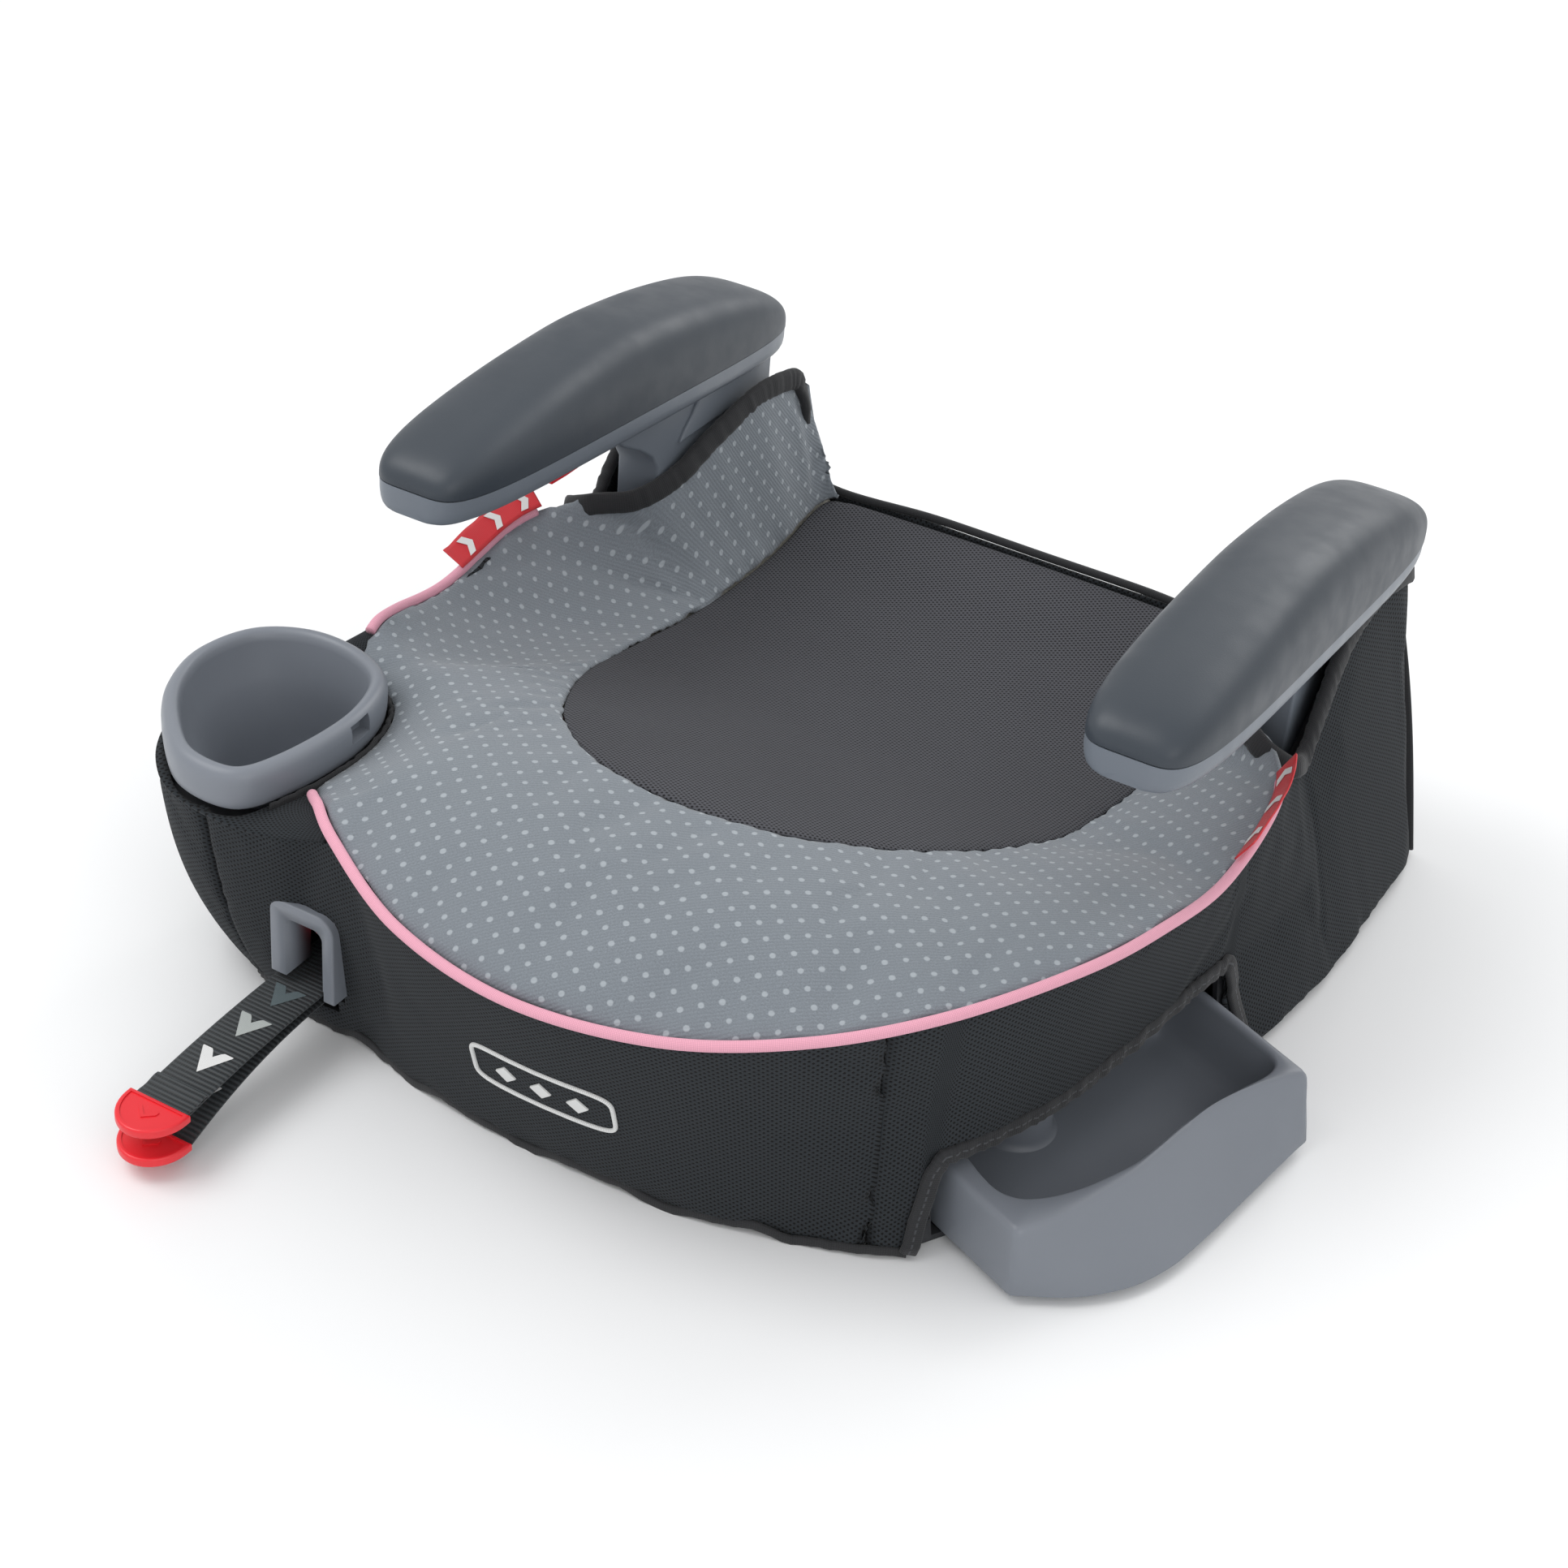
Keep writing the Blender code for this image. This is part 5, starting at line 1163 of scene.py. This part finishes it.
# ---- drawer ------------------------------------------------------------------------------------
def drawer_outline(share, wall=0.0):
    """Outline of the drawer's outside as (along the face, outwards), with rounded corners."""
    along = np.linspace(0.0, DRAWER_LENGTH, 60)
    low = eased(*zip(*FACE_LOW), 0.006)(along)
    high = eased(*zip(*FACE_HIGH), 0.006)(along)
    face = low * (1 - share) + high * share - wall
    along = np.interp(along, (0.0, DRAWER_LENGTH), (wall, DRAWER_LENGTH - wall))
    back = DRAWER_BACK + wall
    front_side = np.linspace(face[0], back, 30)[1:]
    rear_side = np.linspace(back, face[-1], 30)[:-1]
    base = np.linspace(along[0], along[-1], 24)[1:-1]
    points = [(b, a) for b, a in zip(along, face)]
    points += [(along[-1], a) for a in rear_side[::-1]]
    points += [(b, back) for b in base[::-1]]
    points += [(along[0], a) for a in front_side[::-1]]
    return rounded(np.array(points), 0.004)


def drawer_ring(share, z, wall=0.0):
    return drawer_place(drawer_outline(share, wall), z)


def tray_ring(shrink, z):
    """The drawer's inside at one height, moved in by shrink, point for point with drawer_ring."""
    rim = np.array(TRAY_RIM)
    inside = spline(np.vstack([rim[-2:], rim, rim[:3]]), 2 + np.linspace(0, len(rim), 400, endpoint=False))
    middle = np.array(TRAY_MIDDLE)
    along = unit(np.roll(inside, -1, axis=0) - np.roll(inside, 1, axis=0))
    normal = np.column_stack([along[:, 1], -along[:, 0]])
    normal *= np.sign(np.sum((inside - middle) * normal))
    inside = inside - normal * shrink - middle
    turn = np.arctan2(inside[:, 1], inside[:, 0])
    around = drawer_outline(1.0) - middle
    wanted = np.arctan2(around[:, 1], around[:, 0])
    order = np.argsort(turn)
    reach = np.interp(wanted, turn[order], np.linalg.norm(inside, axis=1)[order], period=2 * math.pi)
    points = middle + reach[:, None] * np.column_stack([np.cos(wanted), np.sin(wanted)])
    return drawer_place(points, z)


def rounded(points, reach):
    """A closed outline with its corners eased over about reach."""
    closed = np.vstack([points, points[:1]])
    far = steps(closed)
    even = np.linspace(0, far[-1], 400, endpoint=False)
    line = np.column_stack([np.interp(even, far, closed[:, k]) for k in range(2)])
    width = max(1, round(reach / (far[-1] / 400)))
    return convolved(np.vstack([line[-width:], line, line[:width]]), hann(width))[::2]


def drawer_place(points, z):
    out = np.array([math.cos(DRAWER_TURN), -math.sin(DRAWER_TURN)])
    back = np.array([math.sin(DRAWER_TURN), math.cos(DRAWER_TURN)])
    plan = np.array([DRAWER_CORNER + back * b + out * a for b, a in points])
    return np.column_stack([plan, np.full(len(plan), z)])


def drawer():
    """Open tray with a rolled rim and a round boss at its front inside corner."""
    top, low = DRAWER_TOP, DRAWER_BOTTOM
    outside = [(0.0, low, 0.0012), (0.0, low + 0.0004, 0.0003), (0.03, low + 0.0014), (0.30, low + 0.010),
               (0.60, low + 0.019), (0.84, top - 0.0064), (0.94, top - 0.0038, 0.0001),
               (0.98, top - 0.0020, 0.0005), (1.0, top - 0.0008, 0.0013), (1.0, top - 0.0001, 0.0026)]
    inside = [(-0.0018, top - 0.0002), (-0.0008, top - 0.0007), (-0.0002, top - 0.0017),
              (0.0, top - 0.0032), (0.0012, low + 0.0160), (0.0026, low + 0.0090),
              (0.0046, low + 0.0050), (0.0078, low + 0.0034), (0.0120, low + 0.0030)]
    rings = [drawer_ring(*ring) for ring in outside] + [tray_ring(*ring) for ring in inside]
    tray = lofted("drawer_tray", rings, GREY, sharp=50)
    belongs(tray, "drawer", "grey_plastic", "drawer")
    rings = []
    for z, radius in ((low + 0.0028, 0.0190), (low + 0.0040, 0.0172), (low + 0.0066, 0.0163),
                      (0.0310, 0.0155), (0.0324, 0.0149), (0.0331, 0.0136), (0.0333, 0.0100)):
        rings.append(drawer_place([(0.0660 + radius * math.cos(a), -0.0735 + radius * math.sin(a))
                                   for a in np.linspace(0, 2 * math.pi, 65)[:-1]], z))
    boss = lofted("drawer_boss", rings, GREY, sharp=50)
    belongs(boss, "drawer", "grey_plastic")


# ---- armrests ----------------------------------------------------------------------------------
def arm_half(share):
    return ARM_HALF * (1 - np.abs(2 * share - 1) ** PAD_SQUARE) ** (1 / PAD_SQUARE)


def rim_at(share):
    return RIM_FRONT - RIM_DROP * share


dome = eased(DOME_AT, DOME_HIGH, 0.05)


def armrest(side):
    """Soft-touch pad, its plate and the post below."""
    shares = 0.5 - 0.5 * np.cos(np.pi * np.linspace(0.012, 0.988, 84))
    lengthwise = ARM_FRONT + shares * (ARM_REAR - ARM_FRONT)
    angles = np.linspace(0, math.pi, 41)
    pad, plate = [], []
    edge = [(1.0, -0.02), (1.0, -0.10), (0.998, -0.45), (0.975, -0.70), (0.93, -0.88), (0.86, -0.97),
            (0.76, -1.0)]
    under = [(-1.0, -0.02), *edge] + [(-a, b) for a, b in edge[:0:-1]]
    for share, y in zip(shares, lengthwise):
        half = arm_half(share)
        high = dome(share) * (1 - abs(2 * share - 1) ** 14) ** 0.45
        x = half * bowed(np.cos(angles), 0.58)
        seat = rim_at(share) + 0.0004
        z = seat + high * np.abs(np.sin(angles)) ** 0.62
        ring = np.column_stack([x, np.full(len(x), y), z])
        floor = np.column_stack([np.linspace(-half, half, 8)[1:-1], np.full(6, y), np.full(6, seat)])
        pad.append(np.vstack([ring, floor]))
        plate.append([(half * 0.985 * a, y, rim_at(share) + PLATE_DEEP * b) for a, b in under])
    for name, node, rings, look, finish in (
            ("armrest_cushion", "armrest_pad", pad, SLATE, "soft_touch"),
            ("armrest_plate", "armrest_frame", plate, PLATE_GREY, "grey_plastic")):
        rings = np.array(rings)
        rings[:, :, 0] = (rings[:, :, 0] + PAD_X) * SIGN[side]
        piece = lofted(f"{name}_{side}", rings, look, sharp=48)
        belongs(piece, f"armrest_{side}", finish, f"{node}_{side}")
    outline = [(POST_FRONT, 0.0310), (POST_REAR, 0.0310), (POST_REAR, 0.1740), (0.050, 0.1820),
               (0.050, 0.1720), (0.058, 0.1650), (POST_FRONT - 0.016, 0.1560), (POST_FRONT - 0.005, 0.1480),
               (POST_FRONT, 0.1400)]
    axes = [(0, 1, 0), (0, 0, 1), (1, 0, 0)]
    middle = (SIGN[side] * ARM_X, 0, 0)
    post = slab(f"armrest_post_{side}", outline, POST_HALF, axes, middle, PLATE_GREY, 0.0016)
    belongs(post, f"armrest_{side}", "grey_plastic")
    raised = [(0.1930, 0.1475), (0.1930, 0.1700), (0.1220, 0.1745), (0.1240, 0.1700), (0.1230, 0.1640),
              (0.1180, 0.1580), (0.1120, 0.1530), (0.1090, 0.1490), (0.1080, 0.1475)]
    inner = SIGN[side] * (ARM_X - POST_HALF - 0.0004)
    web = slab(f"armrest_web_{side}", raised, 0.0014, axes, (inner, 0, 0), PLATE_GREY, 0.0010)
    belongs(web, f"armrest_{side}", "grey_plastic")


# ---- straps ------------------------------------------------------------------------------------
def arched(left, right, low, high, left_round, right_round):
    """A rectangle with two rounded top corners."""
    points = [(left, low), (right, low)]
    for centre, radius, start in ((right - right_round, right_round, 0.0),
                                  (left + left_round, left_round, 90.0)):
        for turn in np.radians(np.linspace(start, start + 90.0, 10)):
            points.append((centre + radius * math.cos(turn), high - radius + radius * math.sin(turn)))
    return points


def strap_frame():
    """Upside-down U of plastic round the opening that the strap comes through."""
    axes, origin = [(1, 0, 0), (0, 0, 1), (0, -1, 0)], (0.0, BEZEL_Y + 0.0081, 0.0)
    outline = arched(-0.1470, -0.1136, 0.0285, 0.0725, 0.0025, 0.0090)
    rim = slab("strap_frame", outline, 0.0085, axes, origin, GREY, 0.0014)
    inside = arched(-0.1384, -0.1190, 0.0100, 0.0652, 0.0040, 0.0050)
    cut_away(rim, slab("strap_room", inside, 0.0200, axes, origin, GREY))
    cut_away(rim, block((-0.1490, -0.2600, 0.0100), (-0.1186, -0.1800, 0.0345)))
    belongs(rim, "seat", "grey_plastic", "strap_bezel")


def strap_height(tail, y):
    """Height of a tail's top: level to the opening, then bending down."""
    start, end = STRAP_FALL[tail]
    return start + (end - start) * (np.minimum(0.0, y - BEZEL_Y) / STRAP_BEND) ** 2


def strap_mark(name, tail, at, look):
    """A plain notched arrowhead woven on the webbing, which follows its bend."""
    rows = []
    for share in np.linspace(0, 1, 15):
        across = STRAP_X + 0.0078 * (2 * share - 1)
        far = abs(2 * share - 1)
        back = 0.0062 - 0.0042 * max(0.0, 1.0 - far / 0.36)
        tip = -0.0082 + 0.0138 * far
        y = at + np.linspace(back, tip, 9)
        rows.append(np.column_stack([np.full(9, across), y, strap_height(tail, y) + 0.00022]))
    sheet = np.array(rows)
    return sheet_piece(name, sheet[::-1], sheet[::-1, :, :2], look)


def strap_tail(name):
    """Ribbed webbing with its sewn end and plain chevrons."""
    body = f"strap_{name}"
    y = np.concatenate([np.linspace(-0.0950, BEZEL_Y, 40)[:-1], np.linspace(BEZEL_Y, -0.3100, 50)])
    path = np.column_stack([np.full(len(y), STRAP_X), y, strap_height(name, y) - STRAP_THICK / 2])
    side = np.broadcast_to(np.array([1.0, 0.0, 0.0]), path.shape)
    ahead = unit(np.gradient(path, axis=0))
    up = np.cross(side, ahead)
    up *= np.sign(up[:, 2])[:, None]
    half, thin = STRAP_HALF, STRAP_THICK / 2
    profile = [(-half, -thin * 0.4), (-half + 0.001, -thin), (half - 0.001, -thin), (half, -thin * 0.4),
               (half, thin * 0.4), (half - 0.001, thin), (-half + 0.001, thin), (-half, thin * 0.4)]
    strap = sweep(f"webbing_{name}", path, side, up, profile, WEBBING, sharp=40)
    belongs(strap, body, "webbing", f"strap_tail_{name}")
    if name == "upper":
        fold = path[-9:] + up[-9:] * 0.0014
        fold[:, 2] += 0.0003 * np.sin(np.linspace(0, 9, len(fold)))
        end_fold = sweep("webbing_end_fold", fold, side[-9:], up[-9:],
                         [(a * 1.02, b * 0.8) for a, b in profile], WEBBING, sharp=40)
        belongs(end_fold, body, "webbing")
        # The strap arrows are all one white print; the slate and grey ones are darker copies of it, painted
        # shade that deepens towards the strap opening
        marks = ((-0.2310, PRINT_PAINTED_SHADE), (-0.2540, PRINT_PAINTED_HALF_SHADE), (-0.2790, WHITE_TAPE))
    else:
        # Painted shade here too: the arrow nearest the strap opening is the darker slate copy of the white
        # print
        marks = ((-0.2620, PRINT_PAINTED_SHADE), (-0.2870, WHITE_TAPE))
    for number, (at, look) in enumerate(marks, 1):
        mark = strap_mark(f"strap_arrow_{name}_{number}", name, at, look)
        belongs(mark, body, "webbing")


def pull_tab(name):
    """Half-round moulded tab with a raised rim and a recessed face."""
    z = STRAP_FALL[name][1]
    axes = [(1, 0, 0), (0, 1, 0), (0, 0, 1)]
    shape = []
    for inset in (0.0, 0.0020):
        radius, flat = TAB_HALF - inset, TAB_START - inset
        arc = [(STRAP_X + radius * math.cos(a), TAB_START - 0.0025 - (TAB_DEEP - inset) * math.sin(a))
               for a in np.linspace(0, math.pi, 41)]
        shape.append(arc + [(STRAP_X - radius, flat), (STRAP_X + radius, flat)])
    tab = slab(f"tab_{name}", shape[0], 0.0022, axes, (0, 0, z), RED_PLASTIC, 0.0011)
    room = slab("tab_room", shape[1], 0.0010, axes, (0, 0, z + 0.0026), RED_PLASTIC)
    cut_away(tab, room)
    tab.data.set_sharp_from_angle(angle=math.radians(35))
    belongs(tab, f"strap_{name}", "red_plastic", f"pull_tab_{name}")
    axes = [(0, -1, 0), (1, 0, 0), (0, 0, -1)]
    place = (STRAP_X, -0.3185, z + 0.0018)
    mark = slab(f"tab_mark_{name}", chevron(0.0090, 0.0062, 0.0020), 0.0003, axes, place, RED_PLASTIC)
    belongs(mark, f"strap_{name}", "red_plastic")


# ---- carried-over CAD nodes --------------------------------------------------------------------
def dress_nodes():
    looks = {
        "base_shell": RESIN, "base_pan": RESIN, "seat_foam": FOAM, "release_button": RED_PLASTIC,
        "adjuster_frame": STEEL, "adjuster_lever": STEEL, "drawer_rail_front": RESIN,
        "drawer_rail_rear": RESIN,
    }
    for side in SIGN:
        looks[f"armrest_sleeve_{side}"] = RESIN
        looks[f"armrest_lever_{side}"] = RED_PLASTIC
        looks[f"strap_run_{side}"] = WEBBING_FLAT
        looks[f"hook_strap_{side}"] = WEBBING_FLAT
        looks[f"anchor_hook_{side}"] = STEEL
        looks[f"hook_gate_{side}"] = STEEL
    for name, look in looks.items():
        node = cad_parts[name]
        for spot in node.material_slots:
            spot.link = "OBJECT"
            spot.material = look
    for name, width in (("release_button", 0.0008), ("anchor_hook_left", 0.0008),
                        ("anchor_hook_right", 0.0008), ("adjuster_lever", 0.0005)):
        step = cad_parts[name].modifiers.new("eased", "BEVEL")
        step.width = width
        step.segments = 2
        step.limit_method = "ANGLE"
        step.angle_limit = math.radians(35)


# ---- studio ------------------------------------------------------------------------------------
def studio():
    bpy.ops.mesh.primitive_plane_add(size=12.0, location=(0, 0, -0.0004))
    floor = bpy.context.object
    floor.name = "studio_floor"
    floor.data.materials.append(floor_look())
    world = bpy.data.worlds.new("studio")
    bpy.context.scene.world = world
    world.use_nodes = True
    world.node_tree.nodes["Background"].inputs[0].default_value = (1.0, 1.0, 1.0, 1.0)
    world.node_tree.nodes["Background"].inputs[1].default_value = 0.85
    for name, place, aim, size, power in (
            ("key", (-1.1, -0.8, 1.9), (0, 0, 0.05), 1.3, 22.0),
            ("fill", (1.6, -1.3, 1.2), (0, 0, 0.1), 1.6, 9.0),
            ("rear", (0.3, 1.8, 1.3), (0, 0, 0.1), 1.2, 12.0)):
        lamp = bpy.data.lights.new(name, "AREA")
        lamp.energy = power
        lamp.size = size
        holder = bpy.data.objects.new(name, lamp)
        holder.location = place
        holder.rotation_euler = (Vector(aim) - Vector(place)).to_track_quat("-Z", "Y").to_euler()
        bpy.context.scene.collection.objects.link(holder)
    bpy.context.scene.view_settings.view_transform = "Standard"


def camera():
    azimuth, elevation, roll = np.radians([CAMERA_AZIMUTH, CAMERA_ELEVATION, CAMERA_ROLL]).tolist()
    ahead = Vector((-math.sin(azimuth) * math.cos(elevation), math.cos(azimuth) * math.cos(elevation),
                    -math.sin(elevation)))
    level = Vector((math.cos(azimuth), math.sin(azimuth), 0.0))
    above = level.cross(ahead)
    right = level * math.cos(roll) + above * math.sin(roll)
    up = above * math.cos(roll) - level * math.sin(roll)
    spot = Vector(CAMERA_AIM) - ahead * CAMERA_FAR
    lens = bpy.data.cameras.new("camera")
    lens.sensor_width = 36.0
    lens.lens = CAMERA_LENS
    holder = bpy.data.objects.new("camera", lens)
    holder.matrix_world = Matrix.Translation(spot) @ Matrix([right, up, -ahead]).transposed().to_4x4()
    bpy.context.scene.collection.objects.link(holder)
    bpy.context.scene.camera = holder


camera()
studio()
seat_top()
seat_insert()
skirt()
cup_shelf()
hem_elastic()
piping()
rear_tape()
cup_elastic()
drawer_tape()
front_patch()
cup_holder()
drawer()
strap_frame()
for SIDE in SIGN:
    wing_binding(SIDE)
    wing_end(SIDE)
    corner_tape(SIDE)
    belt_label(SIDE)
    armrest(SIDE)
for TAIL in STRAP_FALL:
    strap_tail(TAIL)
    pull_tab(TAIL)
dress_nodes()
